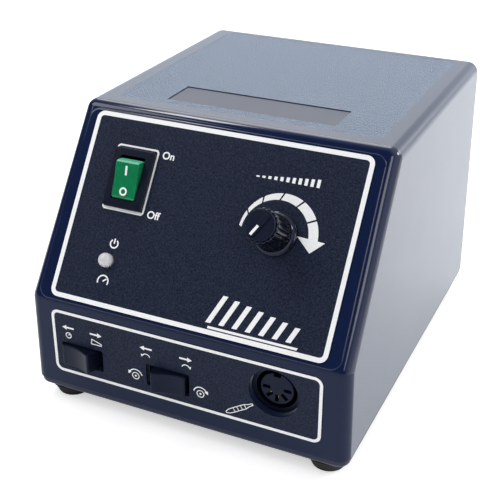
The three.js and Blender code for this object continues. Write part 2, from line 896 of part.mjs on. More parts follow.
function rockerBody() {
  const width = rockerCavityLength + 2 * rockerBodyWall;
  const length = slotHeight + 2 * rockerBodyWall;
  const top = innerFace;
  const outer = solid(block(width, length, top - rockerBodyDepth, top));
  const low = top - rockerBodyDepth + rockerBodyFloor;
  const cavity = solid(block(rockerCavityLength, slotHeight, low, top + overrun));
  const boreLength = slotHeight + 2 * paddleTrunnionReach + runGap;
  const bore = trunnion(paddleTrunnionRadius + runGap, boreLength).rotateZ(halfTurn / 2);
  return cut(outer, cavity, solid(bore, at(0, 0, overlayProud - paddlePivotDepth)));
}

function overloadLed() {
  const low = -ledFlangeDrop;
  const profile = [[0, low], [ledFlangeRadius, low], [ledFlangeRadius, low + ledFlangeHeight]];
  profile.push([ledRadius, low + ledFlangeHeight]);
  const domeSteps = 5;
  for (let i = 0; i <= domeSteps; i += 1) {
    const angle = (halfTurn / 2) * (i / domeSteps);
    profile.push([ledRadius * Math.cos(angle), ledRise - ledRadius + ledRadius * Math.sin(angle)]);
  }
  profile[profile.length - 1][0] = 0;
  let body = solid(turned(profile, roundSteps));
  for (const side of [-1, 1]) {
    const lead = block(ledLeadSide, ledLeadSide, low - ledLeadLength, low + ledFlangeHeight / 2);
    body = join(body, solid(lead, at((side * ledLeadPitch) / 2)));
  }
  return body;
}

function ledClip() {
  return solid(tube(ledRadius + seatGap, clipRadius, innerFace - clipHeight, innerFace));
}

function knobGrip(low, high) {
  const shape = new THREE.Shape();
  const flutePoints = knobFluteCount * 3;
  for (let i = 0; i < flutePoints; i += 1) {
    const radius = i % 3 === 2 ? knobGripRadius - knobFluteDepth : knobGripRadius;
    const angle = (2 * halfTurn * i) / flutePoints;
    const [x, y] = [radius * Math.cos(angle), radius * Math.sin(angle)];
    if (i === 0) {
      shape.moveTo(x, y);
    } else {
      shape.lineTo(x, y);
    }
  }
  return slab(shape, low, high);
}

function speedKnob() {
  const low = knobLift;
  const high = knobHeight;
  const flareTop = low + knobSkirtHeight + knobFlareHeight;
  const flareShares = [[0.15, 0.3], [0.45, 0.6], [0.8, 0.85]];
  const skirt = [[0, low], [knobSkirtRadius, low], [knobSkirtRadius, low + knobSkirtHeight]];
  for (const [inShare, upShare] of flareShares) {
    const radius = knobSkirtRadius - inShare * (knobSkirtRadius - knobGripRadius);
    skirt.push([radius, low + knobSkirtHeight + upShare * knobFlareHeight]);
  }
  skirt.push([knobGripRadius - knobFluteDepth, flareTop], [0, flareTop]);
  const core = knobGripRadius - knobFluteDepth;
  const crown = [[0, low], [core, low], [core, high - knobEdge], [core - knobEdge, high], [0, high]];
  const cavity = rod(knobCavityRadius, low - overrun, low + knobCavityHeight);
  const shaftHole = rod(shaftRadius + seatGap, low - overrun, shaftLength + seatGap);
  const stemHole = rod(capStemRadius + seatGap, high - capStemLength - seatGap, high + overrun);
  const grip = solid(knobGrip(low, high - knobEdge));
  const body = join(solid(turned(skirt, fineSteps)), grip, solid(turned(crown, roundSteps)));
  return cut(body, solid(cavity), solid(shaftHole), solid(stemHole));
}

function knobCap() {
  const low = knobHeight + seatGap;
  const high = low + capThickness;
  const disc = solid(turned([
    [0, knobHeight - capStemLength],
    [capStemRadius, knobHeight - capStemLength],
    [capStemRadius, low],
    [capRadius, low],
    [capRadius, high - capBarRise],
    [capRadius - capBarRise, high],
    [0, high],
  ], fineSteps));
  const bar = block(capBarWidth, 2 * (capRadius - capBarWidth / 2), high - capBarRise, high + capBarRise);
  return join(disc, solid(bar));
}

function potBody() {
  const top = innerFace - overlayFace;
  const bush = tube(shaftRadius + shaftGap, bushRadius, top - potDepth / 2, bushRise);
  const bore = rod(shaftRadius + shaftGap, top - potDepth / 2, top + overrun);
  return cut(join(solid(rod(potRadius, top - potDepth, top)), solid(bush)), solid(bore));
}

function potShaft() {
  const low = innerFace - overlayFace - potDepth / 2 + seatGap;
  return solid(rod(shaftRadius, low, shaftLength));
}

function potWasher() {
  return solid(tube(bushRadius + shaftGap, washerRadius, seatGap, seatGap + washerThickness));
}

function potNut() {
  const low = seatGap + washerThickness + seatGap;
  const cornerRadius = nutAcrossFlats / 2 / Math.cos(halfTurn / 6);
  const hole = rod(bushRadius + shaftGap, low - overrun, low + overrun);
  return cut(solid(polygonPrism(6, cornerRadius, low, low + nutThickness)), solid(hole));
}

function socketShell() {
  const top = innerFace;
  const flange = roundedSlab(
    socketFlangeWidth,
    socketFlangeLength,
    socketFlangeCorner,
    top - socketFlangeThickness,
    top,
  );
  const groove = rod(socketGrooveRadius, top - socketGrooveDepth, top + overrun, fineSteps);
  return cut(join(solid(rod(socketShellRadius, top - socketDepth, top)), solid(flange)), solid(groove));
}

// Places of the contacts round the lower half of the insert
function contactAngles() {
  return Array.from({ length: contactCount }, (_, i) => -(halfTurn * i) / (contactCount - 1));
}

function socketInsert() {
  const top = innerFace;
  const low = top - socketGrooveDepth + seatGap;
  let body = solid(rod(socketInsertRadius, low, top, fineSteps));
  const keyway = block(keywayWidth, 2 * keywayDepth, low - overrun, top + overrun);
  body = cut(body, solid(keyway, at(0, socketInsertRadius)));
  for (const angle of contactAngles()) {
    const slot = block(contactSlotLength, contactSlotWidth, low + insertFloor, top + overrun);
    const place = new THREE.Matrix4().makeRotationZ(angle).multiply(at(contactRingRadius));
    body = cut(body, solid(slot, place));
  }
  return body;
}

function socketContact() {
  const low = innerFace - socketGrooveDepth + insertFloor + 2 * seatGap;
  return solid(block(contactLength, contactThickness, low, innerFace - contactDrop));
}

function inletPinPlaces() {
  return [
    ["inlet_pin_line", inletPinPitch / 2, -inletPinOffset],
    ["inlet_pin_neutral", -inletPinPitch / 2, -inletPinOffset],
    ["inlet_pin_earth", 0, inletPinOffset],
  ];
}

function mainsInlet() {
  const face = inletFlangeRise;
  const back = -inletBodyDepth;
  const flange = solid(roundedSlab(inletFlangeWidth, inletFlangeLength, inletFlangeCorner, seatGap, face));
  const shell = solid(block(inletBodyWidth, inletBodyLength, back, face - seatGap));
  const [x, y] = [inletCavityWidth / 2, inletCavityLength / 2];
  const corner = inletCavityCorner * 2;
  const outline = new THREE.Shape([
    new THREE.Vector2(-x, -y),
    new THREE.Vector2(x, -y),
    new THREE.Vector2(x, y - corner),
    new THREE.Vector2(x - corner, y),
    new THREE.Vector2(corner - x, y),
    new THREE.Vector2(-x, y - corner),
  ]);
  let body = cut(join(flange, shell), solid(slab(outline, back + inletFloor, face + overrun)));
  for (const [, pinX, pinY] of inletPinPlaces()) {
    const [holeWidth, holeLength] = [inletPinWidth + 2 * seatGap, inletPinHeight + 2 * seatGap];
    const hole = block(holeWidth, holeLength, back - overrun, back + overrun);
    body = cut(body, solid(hole, at(pinX, pinY)));
  }
  for (const side of [-1, 1]) {
    const hole = rod(screwHoleRadius, -overrun, face + overrun, smallSteps);
    body = cut(body, solid(hole, at((side * inletScrewPitch) / 2)));
  }
  return body;
}

function inletPin() {
  const tail = -inletBodyDepth - inletTailLength;
  return solid(block(inletPinWidth, inletPinHeight, tail, inletFlangeRise - inletPinRecess));
}

function inletScrew() {
  const low = inletFlangeRise + seatGap;
  return solid(turned([
    [0, low - inletScrewLength],
    [screwShankRadius, low - inletScrewLength],
    [screwShankRadius, low],
    [inletScrewHead, low],
    [inletScrewHead, low + inletScrewHeadHeight / 2],
    [inletScrewHead / 2, low + inletScrewHeadHeight],
    [0, low + inletScrewHeadHeight],
  ], smallSteps));
}

function fuseHolder() {
  return solid(turned([
    [0, -fuseBodyDepth],
    [fuseBodyRadius, -fuseBodyDepth],
    [fuseBodyRadius, seatGap],
    [fuseFlangeRadius, seatGap],
    [fuseFlangeRadius, fuseFlangeRise],
    [fuseBoreRadius, fuseFlangeRise],
    [fuseBoreRadius, fuseFloor - fuseBodyDepth],
    [0, fuseFloor - fuseBodyDepth],
  ], roundSteps));
}

function fuseCap() {
  const low = fuseFlangeRise + seatGap;
  const high = low + fuseCapHeight;
  const stemRadius = fuseBoreRadius - runGap;
  const body = solid(turned([
    [0, low - fuseStemLength],
    [stemRadius, low - fuseStemLength],
    [stemRadius, low],
    [fuseCapRadius, low],
    [fuseCapRadius, high - fuseCapSlotWidth / 2],
    [fuseCapRadius - fuseCapSlotWidth / 2, high],
    [0, high],
  ], roundSteps));
  const slot = block(fuseCapSlotWidth, 2 * fuseCapRadius + overrun, high - fuseCapSlotDepth, high + overrun);
  return cut(body, solid(slot));
}

function fuseLink() {
  const high = fuseFlangeRise - fuseStemLength;
  return solid(rod(fuseLinkRadius, fuseFloor - fuseBodyDepth + seatGap, high, smallSteps));
}

function jackBody() {
  const top = -panelThickness - seatGap;
  const barrel = rod(jackBarrelRadius, top - wall, jackBarrelRise);
  const box = block(jackBodySide, jackBodySide, top - jackBodyDepth, top);
  const bore = rod(jackBoreRadius, jackBarrelRise - jackBoreDepth, jackBarrelRise + overrun);
  return cut(join(solid(box), solid(barrel)), solid(bore));
}

function jackNut() {
  const cornerRadius = jackNutFlats / 2 / Math.cos(halfTurn / 6);
  const nut = solid(polygonPrism(6, cornerRadius, seatGap, seatGap + jackNutThickness));
  return cut(nut, solid(rod(jackBarrelRadius + seatGap, -overrun, overrun + jackNutThickness)));
}

const coreLowZ = trayFloorZ + mountHeight + seatGap + frameThickness + seatGap;

// Stack of laminations with a window each side of the middle leg
function transformerCore() {
  const stack = solid(block(coreWidth, coreThickness, coreLowZ, coreLowZ + coreHeight));
  const windowLow = coreLowZ + windowWidth;
  const windowHigh = coreLowZ + coreHeight - windowWidth;
  const place = (legWidth + windowWidth) / 2;
  const opening = block(windowWidth, coreThickness + overrun, windowLow, windowHigh);
  return cut(stack, solid(opening, at(-place)), solid(opening, at(place)));
}

function transformerWinding() {
  const low = coreLowZ + windowWidth + seatGap;
  const high = coreLowZ + coreHeight - windowWidth - seatGap;
  const width = legWidth + 2 * windowWidth - 2 * seatGap;
  const length = coreThickness + 2 * windingBulge;
  const ring = solid(roundedSlab(width, length, windingCorner, low, high));
  const hole = block(legWidth + 2 * seatGap, coreThickness + 2 * seatGap, low - overrun, high + overrun);
  return cut(ring, solid(hole));
}

// Sheet steel strap over the core, with a foot on each side
function transformerFrame() {
  const footLow = trayFloorZ + mountHeight + seatGap;
  const high = coreLowZ + coreHeight + seatGap + frameThickness;
  const innerWidth = coreWidth + 2 * seatGap;
  const outerWidth = innerWidth + 2 * frameThickness;
  const length = coreThickness / 2;
  const strap = solid(block(outerWidth, length, footLow, high));
  const inside = solid(block(innerWidth, length + overrun, footLow + frameThickness, high - frameThickness));
  const throatWidth = outerWidth - 2 * frameFootLength;
  const throat = block(throatWidth, length + overrun, footLow - overrun, footLow + overrun);
  let body = cut(strap, inside, solid(throat));
  for (const x of frameFootPlaces()) {
    const hole = rod(framePegRadius + seatGap, footLow - overrun, footLow + overrun, smallSteps);
    body = cut(body, solid(hole, at(x - coreX)));
  }
  return body;
}

const boardLowZ = trayFloorZ + standoffHeight + seatGap;
const boardTopZ = boardLowZ + boardThickness;

function circuitBoard() {
  let body = solid(block(boardWidth, boardLength, boardLowZ, boardTopZ));
  for (const [x, y] of boardCorners()) {
    const hole = rod(pegRadius + seatGap, boardLowZ - overrun, boardTopZ + overrun, smallSteps);
    body = cut(body, solid(hole, at(x, y)));
  }
  return body;
}

// Comb of fins that stand out from an upright base plate
function heatSink() {
  const low = boardTopZ + seatGap;
  const base = solid(block(sinkBase, sinkLength, low, low + sinkHeight));
  const pitch = (sinkLength - sinkFinThickness) / (sinkFinCount - 1);
  let body = base;
  for (let i = 0; i < sinkFinCount; i += 1) {
    const y = (i - (sinkFinCount - 1) / 2) * pitch;
    const fin = block(sinkFinReach, sinkFinThickness, low, low + sinkHeight);
    body = join(body, solid(fin, at(sinkFinReach / 2, y)));
  }
  return body;
}

function powerTransistor() {
  const low = boardTopZ + seatGap;
  const bodyLow = low + transistorLeadHeight;
  const leads = block(transistorLeadThickness, transistorLeadSpan, low, bodyLow + transistorLeadHeight / 2);
  const casing = block(transistorThickness, transistorWidth, bodyLow, bodyLow + transistorBodyHeight);
  const tab = block(transistorTabThickness, transistorWidth, bodyLow, bodyLow + transistorHeight);
  const tabX = (transistorThickness - transistorTabThickness) / 2;
  return join(solid(casing), solid(tab, at(tabX)), solid(leads));
}

function capacitor() {
  const low = boardTopZ + seatGap;
  const high = low + capacitorHeight;
  return solid(turned([
    [0, low],
    [capacitorRadius, low],
    [capacitorRadius, high - capacitorEdge],
    [capacitorRadius - capacitorEdge, high],
    [0, high],
  ], roundSteps));
}

// The unit, with the ground under its feet at zero
const unit = new THREE.Group();

function addCase(parent) {
  addPiece(parent, "upper_housing", upperHousing(), "navy");
  addPiece(parent, "base_tray", baseTray(), "tray");
  const slopeSeat = onFrame(slopeFrame, 0, controlOverlay.middle, overlayFace);
  addPiece(parent, "control_overlay", controlOverlaySheet(), "overlay", slopeSeat);
  const lowerSeat = onFrame(lowerFrame, 0, socketOverlay.middle, overlayProud);
  addPiece(parent, "socket_overlay", socketOverlaySheet(), "overlay", lowerSeat);
  const labelLow = -fieldDepth - labelRecess + seatGap;
  const labelHigh = labelLow + labelThickness;
  const label = block(labelWidth - overlayClearance, labelLength - overlayClearance, labelLow, labelHigh);
  addPiece(parent, "top_label", solid(label), "label", onFrame(topFrame, 0, labelMiddle));
}

function addFeet(parent) {
  for (const [place, side, y] of footPlaces) {
    addPiece(parent, `foot_${place}`, foot(), "rubber", at(side * footX, y));
    addPiece(parent, `foot_screw_${place}`, footScrew(), "zinc", at(side * footX, y));
  }
}

function addPowerSwitch(parent) {
  const seat = group(parent, onFrame(slopeFrame, powerX, powerUp, overlayFace));
  addPiece(seat, "power_switch_body", powerSwitchBody(), "black");
  const tilt = new THREE.Matrix4().makeRotationX(radians(powerTiltDegrees));
  addPiece(seat, "power_rocker", powerRocker(), "green", at(0, 0, -powerPivotDepth).multiply(tilt));
  addPiece(seat, "power_lamp", powerLamp(), "amber");
  terminalPlaces().forEach((y, i) => {
    addPiece(seat, `power_terminal_${i + 1}`, powerTerminal(), "brass", at(0, y));
  });
}

function addOverloadLamp(parent) {
  const place = onFrame(slopeFrame, ledX, ledUp);
  addPiece(parent, "overload_led", overloadLed(), "clear", place.clone().multiply(at(0, 0, overlayFace)));
  addPiece(parent, "led_clip", ledClip(), "black", place);
}

function addSpeedControl(parent) {
  const seat = group(parent, onFrame(slopeFrame, knobX, knobUp, overlayFace));
  const turn = new THREE.Matrix4().makeRotationZ(radians(knobRestDegrees));
  addPiece(seat, "speed_knob", speedKnob(), "black", turn);
  addPiece(seat, "knob_cap", knobCap(), "black", turn);
  addPiece(seat, "pot_shaft", potShaft(), "steel", turn);
  addPiece(seat, "pot_body", potBody(), "zinc");
  addPiece(seat, "pot_washer", potWasher(), "zinc");
  addPiece(seat, "pot_nut", potNut(), "steel");
}

function addLowerRocker(parent, name, x, side) {
  const place = onFrame(lowerFrame, x, rockerUp);
  addPiece(parent, `${name}_switch_body`, rockerBody(), "black", place);
  const tilt = new THREE.Matrix4().makeRotationY(radians(side * paddleTiltDegrees));
  const pivot = at(0, 0, overlayProud - paddlePivotDepth);
  addPiece(parent, `${name}_rocker`, paddle(), "black", place.clone().multiply(pivot).multiply(tilt));
}

function addMotorSocket(parent) {
  const seat = group(parent, onFrame(lowerFrame, socketX, socketUp));
  addPiece(seat, "motor_socket_shell", socketShell(), "black");
  addPiece(seat, "motor_socket_insert", socketInsert(), "black");
  contactAngles().forEach((angle, i) => {
    const place = new THREE.Matrix4().makeRotationZ(angle).multiply(at(contactRingRadius));
    addPiece(seat, `motor_contact_${i + 1}`, socketContact(), "brass", place);
  });
}

function addRear(parent) {
  const seat = group(parent, onFrame(rearFrame, 0, 0, innerFace));
  addPiece(seat, "rear_panel", rearPanel(), "steel");
  const inletSeat = group(seat, at(inletX, inletUp));
  addPiece(inletSeat, "mains_inlet", mainsInlet(), "black");
  for (const [name, x, y] of inletPinPlaces()) {
    addPiece(inletSeat, name, inletPin(), "brass", at(x, y));
  }
  addPiece(inletSeat, "inlet_screw_left", inletScrew(), "zinc", at(-inletScrewPitch / 2));
  addPiece(inletSeat, "inlet_screw_right", inletScrew(), "zinc", at(inletScrewPitch / 2));
  const fuseSeat = group(seat, at(fuseX, fuseUp));
  addPiece(fuseSeat, "fuse_holder", fuseHolder(), "black");
  addPiece(fuseSeat, "fuse_cap", fuseCap(), "black");
  addPiece(fuseSeat, "fuse_link", fuseLink(), "clear");
  const jackSeat = group(seat, at(jackX, jackUp));
  addPiece(jackSeat, "foot_jack_body", jackBody(), "black");
  addPiece(jackSeat, "foot_jack_nut", jackNut(), "zinc");
}

function addTransformer(parent) {
  const seat = group(parent, at(coreX, coreY));
  addPiece(seat, "transformer_core", transformerCore(), "iron");
  addPiece(seat, "transformer_winding", transformerWinding(), "tape");
  addPiece(seat, "transformer_frame", transformerFrame(), "zinc");
}

function addElectronics(parent) {
  addPiece(parent, "circuit_board", circuitBoard(), "board", at(boardX, boardY));
  const sinkX = boardX + boardWidth / 2 - sinkEdge - sinkFinReach;
  const sinkY = boardY + boardLength / 2 - sinkEdge - sinkLength / 2;
  addPiece(parent, "heat_sink", heatSink(), "aluminium", at(sinkX, sinkY));
  const transistorX = sinkX - sinkBase / 2 - seatGap - transistorThickness / 2;
  addPiece(parent, "power_transistor", powerTransistor(), "black", at(transistorX, sinkY));
  addPiece(parent, "capacitor_1", capacitor(), "black", at(capacitorX, capacitorFrontY));
  addPiece(parent, "capacitor_2", capacitor(), "black", at(capacitorX, capacitorFrontY + capacitorPitch));
}

addCase(unit);
addFeet(unit);
addPowerSwitch(unit);
addOverloadLamp(unit);
addSpeedControl(unit);
addLowerRocker(unit, "feed", feedX, -1);
addLowerRocker(unit, "direction", directionX, 1);
addMotorSocket(unit);
addRear(unit);
addTransformer(unit);
addElectronics(unit);

// The origin lies on the ground under the middle of the whole unit
const box = new THREE.Box3().setFromObject(unit, true);
unit.position.set(0, -(box.min.y + box.max.y) / 2, 0);

export default unit;
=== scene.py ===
"""Looks of the control unit of a dental laboratory micromotor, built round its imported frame.

The slope of its wedge-fronted case carries a lit power rocker, an overload lamp and a speed knob. The face
below has two hollow rockers and the motor socket, and the back the mains inlet, the fuse and the foot
control jack. Shapes are made in millimetres in the frame's own axes, and turned to metres at their end.
"""

import logging
import math
from dataclasses import dataclass, field, replace
from enum import Enum
from typing import Optional, Sequence

import bmesh
import bpy
from mathutils import Matrix, Vector


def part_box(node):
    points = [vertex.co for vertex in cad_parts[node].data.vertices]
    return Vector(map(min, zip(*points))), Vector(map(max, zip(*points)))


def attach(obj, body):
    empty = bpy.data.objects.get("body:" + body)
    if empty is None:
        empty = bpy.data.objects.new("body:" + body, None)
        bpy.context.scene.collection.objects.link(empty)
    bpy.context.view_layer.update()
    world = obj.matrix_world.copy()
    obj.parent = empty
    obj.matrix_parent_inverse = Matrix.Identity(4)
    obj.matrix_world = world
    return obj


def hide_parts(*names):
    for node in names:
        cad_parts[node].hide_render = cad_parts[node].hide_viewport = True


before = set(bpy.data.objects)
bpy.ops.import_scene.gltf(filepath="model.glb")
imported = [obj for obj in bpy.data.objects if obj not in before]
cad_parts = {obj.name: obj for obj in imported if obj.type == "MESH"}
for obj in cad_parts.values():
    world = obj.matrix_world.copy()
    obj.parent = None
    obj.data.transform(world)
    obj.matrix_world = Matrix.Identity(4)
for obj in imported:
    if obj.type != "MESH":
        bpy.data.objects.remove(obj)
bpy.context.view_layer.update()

log = logging.getLogger("micromotor_unit")

MM = 0.001
ROOT = "root"

# Edges sharper than this angle stay crisp, and points closer than this reach, in metres, become one
SHARP_ANGLE = math.radians(32)
MERGE_REACH = 1e-7

Point = tuple[float, float]
# A place, or the width, the length and the middle up the side of a pocket or a film
Triple = tuple[float, float, float]
Ring = list[Vector]
Shape = bmesh.types.BMesh
Piece = bpy.types.Object
Tree = bpy.types.NodeTree
Socket = bpy.types.NodeSocket


# Outlines and solids


def rounded(corners: Sequence[Point], radii: float | Sequence[float], steps: int = 6,
            closed: bool = True) -> list[Point]:
    """Rounds the corners of an outline with true arcs.

    Args:
        corners: The sharp corners in order.
        radii: One radius for all corners, or one for each.
        steps: Straight pieces in each arc.
        closed: False for a line whose two ends stay as they are.

    Returns:
        The points of the rounded outline.
    """
    count = len(corners)
    each = [radii] * count if isinstance(radii, (int, float)) else list(radii)
    points: list[Point] = []
    for index, radius in enumerate(each):
        here = Vector(corners[index])
        if radius <= 0 or (not closed and index in (0, count - 1)):
            points.append(tuple(here))
            continue
        before = (Vector(corners[index - 1]) - here).normalized()
        after = (Vector(corners[(index + 1) % count]) - here).normalized()
        half = before.angle(after) / 2
        centre = here + (before + after).normalized() * (radius / math.sin(half))
        first = here + before * (radius / math.tan(half)) - centre
        last = here + after * (radius / math.tan(half)) - centre
        start = math.atan2(first.y, first.x)
        sweep = (math.atan2(last.y, last.x) - start + math.pi) % math.tau - math.pi
        for step in range(steps + 1):
            angle = start + sweep * step / steps
            points.append((centre.x + radius * math.cos(angle), centre.y + radius * math.sin(angle)))
    return points


def rectangle(width: float, length: float, radius: float = 0.0, steps: int = 6) -> list[Point]:
    """Returns a centred rectangle with rounded corners, and with as many points for any radius."""
    x, y = width / 2, length / 2
    return rounded([(-x, -y), (x, -y), (x, y), (-x, y)], max(radius, 0.01), steps)


def circle(radius: float, steps: int = 48, centre: Point = (0.0, 0.0)) -> list[Point]:
    """Returns the points of a circle."""
    angles = [math.tau * step / steps for step in range(steps)]
    return [(centre[0] + radius * math.cos(a), centre[1] + radius * math.sin(a)) for a in angles]


def shrunk(outline: Sequence[Point], by: float) -> list[Point]:
    """Moves the sides of a closed outline inwards.

    Args:
        outline: Anticlockwise points.
        by: How far they move in. Below zero they move out.

    Returns:
        As many points as were given.
    """
    moved_points = []
    count = len(outline)
    for index in range(count):
        here = Vector(outline[index])
        into = (here - Vector(outline[index - 1])).normalized()
        away = (Vector(outline[(index + 1) % count]) - here).normalized()
        inward = Vector((-into.y - away.y, into.x + away.x)).normalized()
        lean = max(inward.dot(Vector((-into.y, into.x))), 0.3)
        moved_points.append(tuple(here + inward * (by / lean)))
    return moved_points


def level(outline: Sequence[Point], height: float) -> Ring:
    """Returns a flat outline lifted to a height."""
    return [Vector((x, y, height)) for x, y in outline]


def loft(rings: Sequence[Ring], looped: bool = False) -> Shape:
    """Joins rings of equal count to one closed solid.

    Args:
        rings: Rings in order. A ring of one point is a pole.
        looped: True joins the last ring to the first, as in a tube, and False closes both ends flat.

    Returns:
        The solid, with its faces pointing out.
    """
    shape = bmesh.new()
    rows = [[shape.verts.new(point) for point in ring] for ring in rings]
    pairs = list(zip(rows, rows[1:]))
    if looped:
        pairs.append((rows[-1], rows[0]))
    for low, high in pairs:
        for index in range(max(len(low), len(high))):
            corners = [low[index % len(low)], low[(index + 1) % len(low)]]
            corners += [high[(index + 1) % len(high)], high[index % len(high)]]
            shape.faces.new(list(dict.fromkeys(corners)))
    if not looped:
        for row in (rows[0], rows[-1]):
            if len(row) > 2:
                shape.faces.new(row)
    bmesh.ops.recalc_face_normals(shape, faces=shape.faces)
    return shape


def edge_curve(size: float, steps: int) -> list[Point]:
    """Returns how far in and how far down a rounded edge lies, from its side to its face."""
    angles = [math.pi / 2 * step / steps for step in range(steps + 1)]
    return [(size * (1 - math.cos(a)), size * (1 - math.sin(a))) for a in angles]


def slab(outline: Sequence[Point], low: float, high: float, top: float = 0.0, bottom: float = 0.0,
         steps: int = 4) -> Shape:
    """Makes a plate of an outline, with rounded upper and lower edges.

    Args:
        outline: Anticlockwise points.
        low: Height of the underside.
        high: Height of the face.
        top: Radius of the upper edge.
        bottom: Radius of the lower edge.
        steps: Straight pieces in each edge.

    Returns:
        The plate.
    """
    rings = []
    if bottom > 0:
        lower = reversed(edge_curve(bottom, steps))
        rings += [level(shrunk(outline, inward), low + drop) for inward, drop in lower]
    else:
        rings.append(level(outline, low))
    if top > 0:
        rings += [level(shrunk(outline, inward), high - drop) for inward, drop in edge_curve(top, steps)]
    else:
        rings.append(level(outline, high))
    return loft(rings)


def turned(profile: Sequence[Point], steps: int = 48, looped: bool = False) -> Shape:
    """Returns a profile of radius and height turned about Z. Looped, it closes on itself round a bore."""
    rings = [[Vector((0, 0, z))] if r < 1e-6 else level(circle(r, steps), z) for r, z in profile]
    return loft(rings, looped)


def band(outline: Sequence[Point], width: float, low: float, high: float) -> Shape:
    """Makes a flat frame that runs inside an outline, width wide."""
    inner = shrunk(outline, width)
    return loft([level(outline, low), level(outline, high), level(inner, high), level(inner, low)], True)


def merged(*shapes: Shape) -> Shape:
    """Puts several shapes in the first one, frees the others and returns it."""
    whole = shapes[0]
    for shape in shapes[1:]:
        mesh = bpy.data.meshes.new("part")
        shape.to_mesh(mesh)
        whole.from_mesh(mesh)
        shape.free()
        bpy.data.meshes.remove(mesh)
    return whole


def moved(shape: Shape, place: Matrix) -> Shape:
    """Moves a shape by a matrix and returns it."""
    bmesh.ops.transform(shape, matrix=place, verts=shape.verts)
    return shape


def shift(x: float = 0.0, y: float = 0.0, z: float = 0.0) -> Matrix:
    """Returns the matrix of a plain move."""
    return Matrix.Translation((x, y, z))


def turn(degrees: float, axis: str = "Z") -> Matrix:
    """Returns the matrix of a turn about one axis."""
    return Matrix.Rotation(math.radians(degrees), 4, axis)


# Finishes


def linear(colour: str) -> tuple[float, float, float, float]:
    """Returns an sRGB hex colour as linear light, with an alpha of one."""
    parts = [int(colour[i:i + 2], 16) / 255 for i in (1, 3, 5)]
    red, green, blue = (p / 12.92 if p <= 0.04045 else ((p + 0.055) / 1.055) ** 2.4 for p in parts)
    return red, green, blue, 1.0


def add(tree: Tree, kind: str, settings: Optional[dict] = None,
        links: Optional[dict] = None) -> bpy.types.Node:
    """Adds a node to a tree.

    Args:
        tree: A material's, world's or geometry tree.
        kind: Blender's name of the node.
        settings: Values by property name, or by the name or number of an input.
        links: The output socket that feeds each input, by its name or number.

    Returns:
        The new node.
    """
    node = tree.nodes.new(kind)
    for key, value in (settings or {}).items():
        if isinstance(key, str) and hasattr(node, key):
            setattr(node, key, value)
        else:
            node.inputs[key].default_value = value
    for key, socket in (links or {}).items():
        tree.links.new(socket, node.inputs[key])
    return node


def emptied(owner: bpy.types.Material | bpy.types.World) -> Tree:
    """Returns the node tree of a material or a world, without its nodes."""
    owner.use_nodes = True
    owner.node_tree.nodes.clear()
    return owner.node_tree


class Grain(Enum):
    """How the surface of a finish was made, which decides its pattern."""

    SPARK = "spark eroded mould"
    SPECKLE = "speckled film"
    POLISH = "polished mould"
    BRUSHED = "brushed or drawn metal"
    PLATED = "barrel plated metal"
    STACKED = "stacked sheets"
    WOUND = "wound wire under tape"
    TRACKS = "etched tracks under lacquer"


# Stretch of each grain along X, Y and Z, where a small number draws the grain out
STRETCH = {
    Grain.BRUSHED: (1.0, 1.0, 0.04),
    Grain.STACKED: (0.05, 1.0, 0.05),
    Grain.WOUND: (0.03, 0.03, 1.0),
    Grain.TRACKS: (0.35, 1.0, 1.0),
}


# Patches in which the roughness wanders, to a metre, and how far light scatters in a lens, in metres
PATCHES = 45.0
SCATTER = 2 * MM


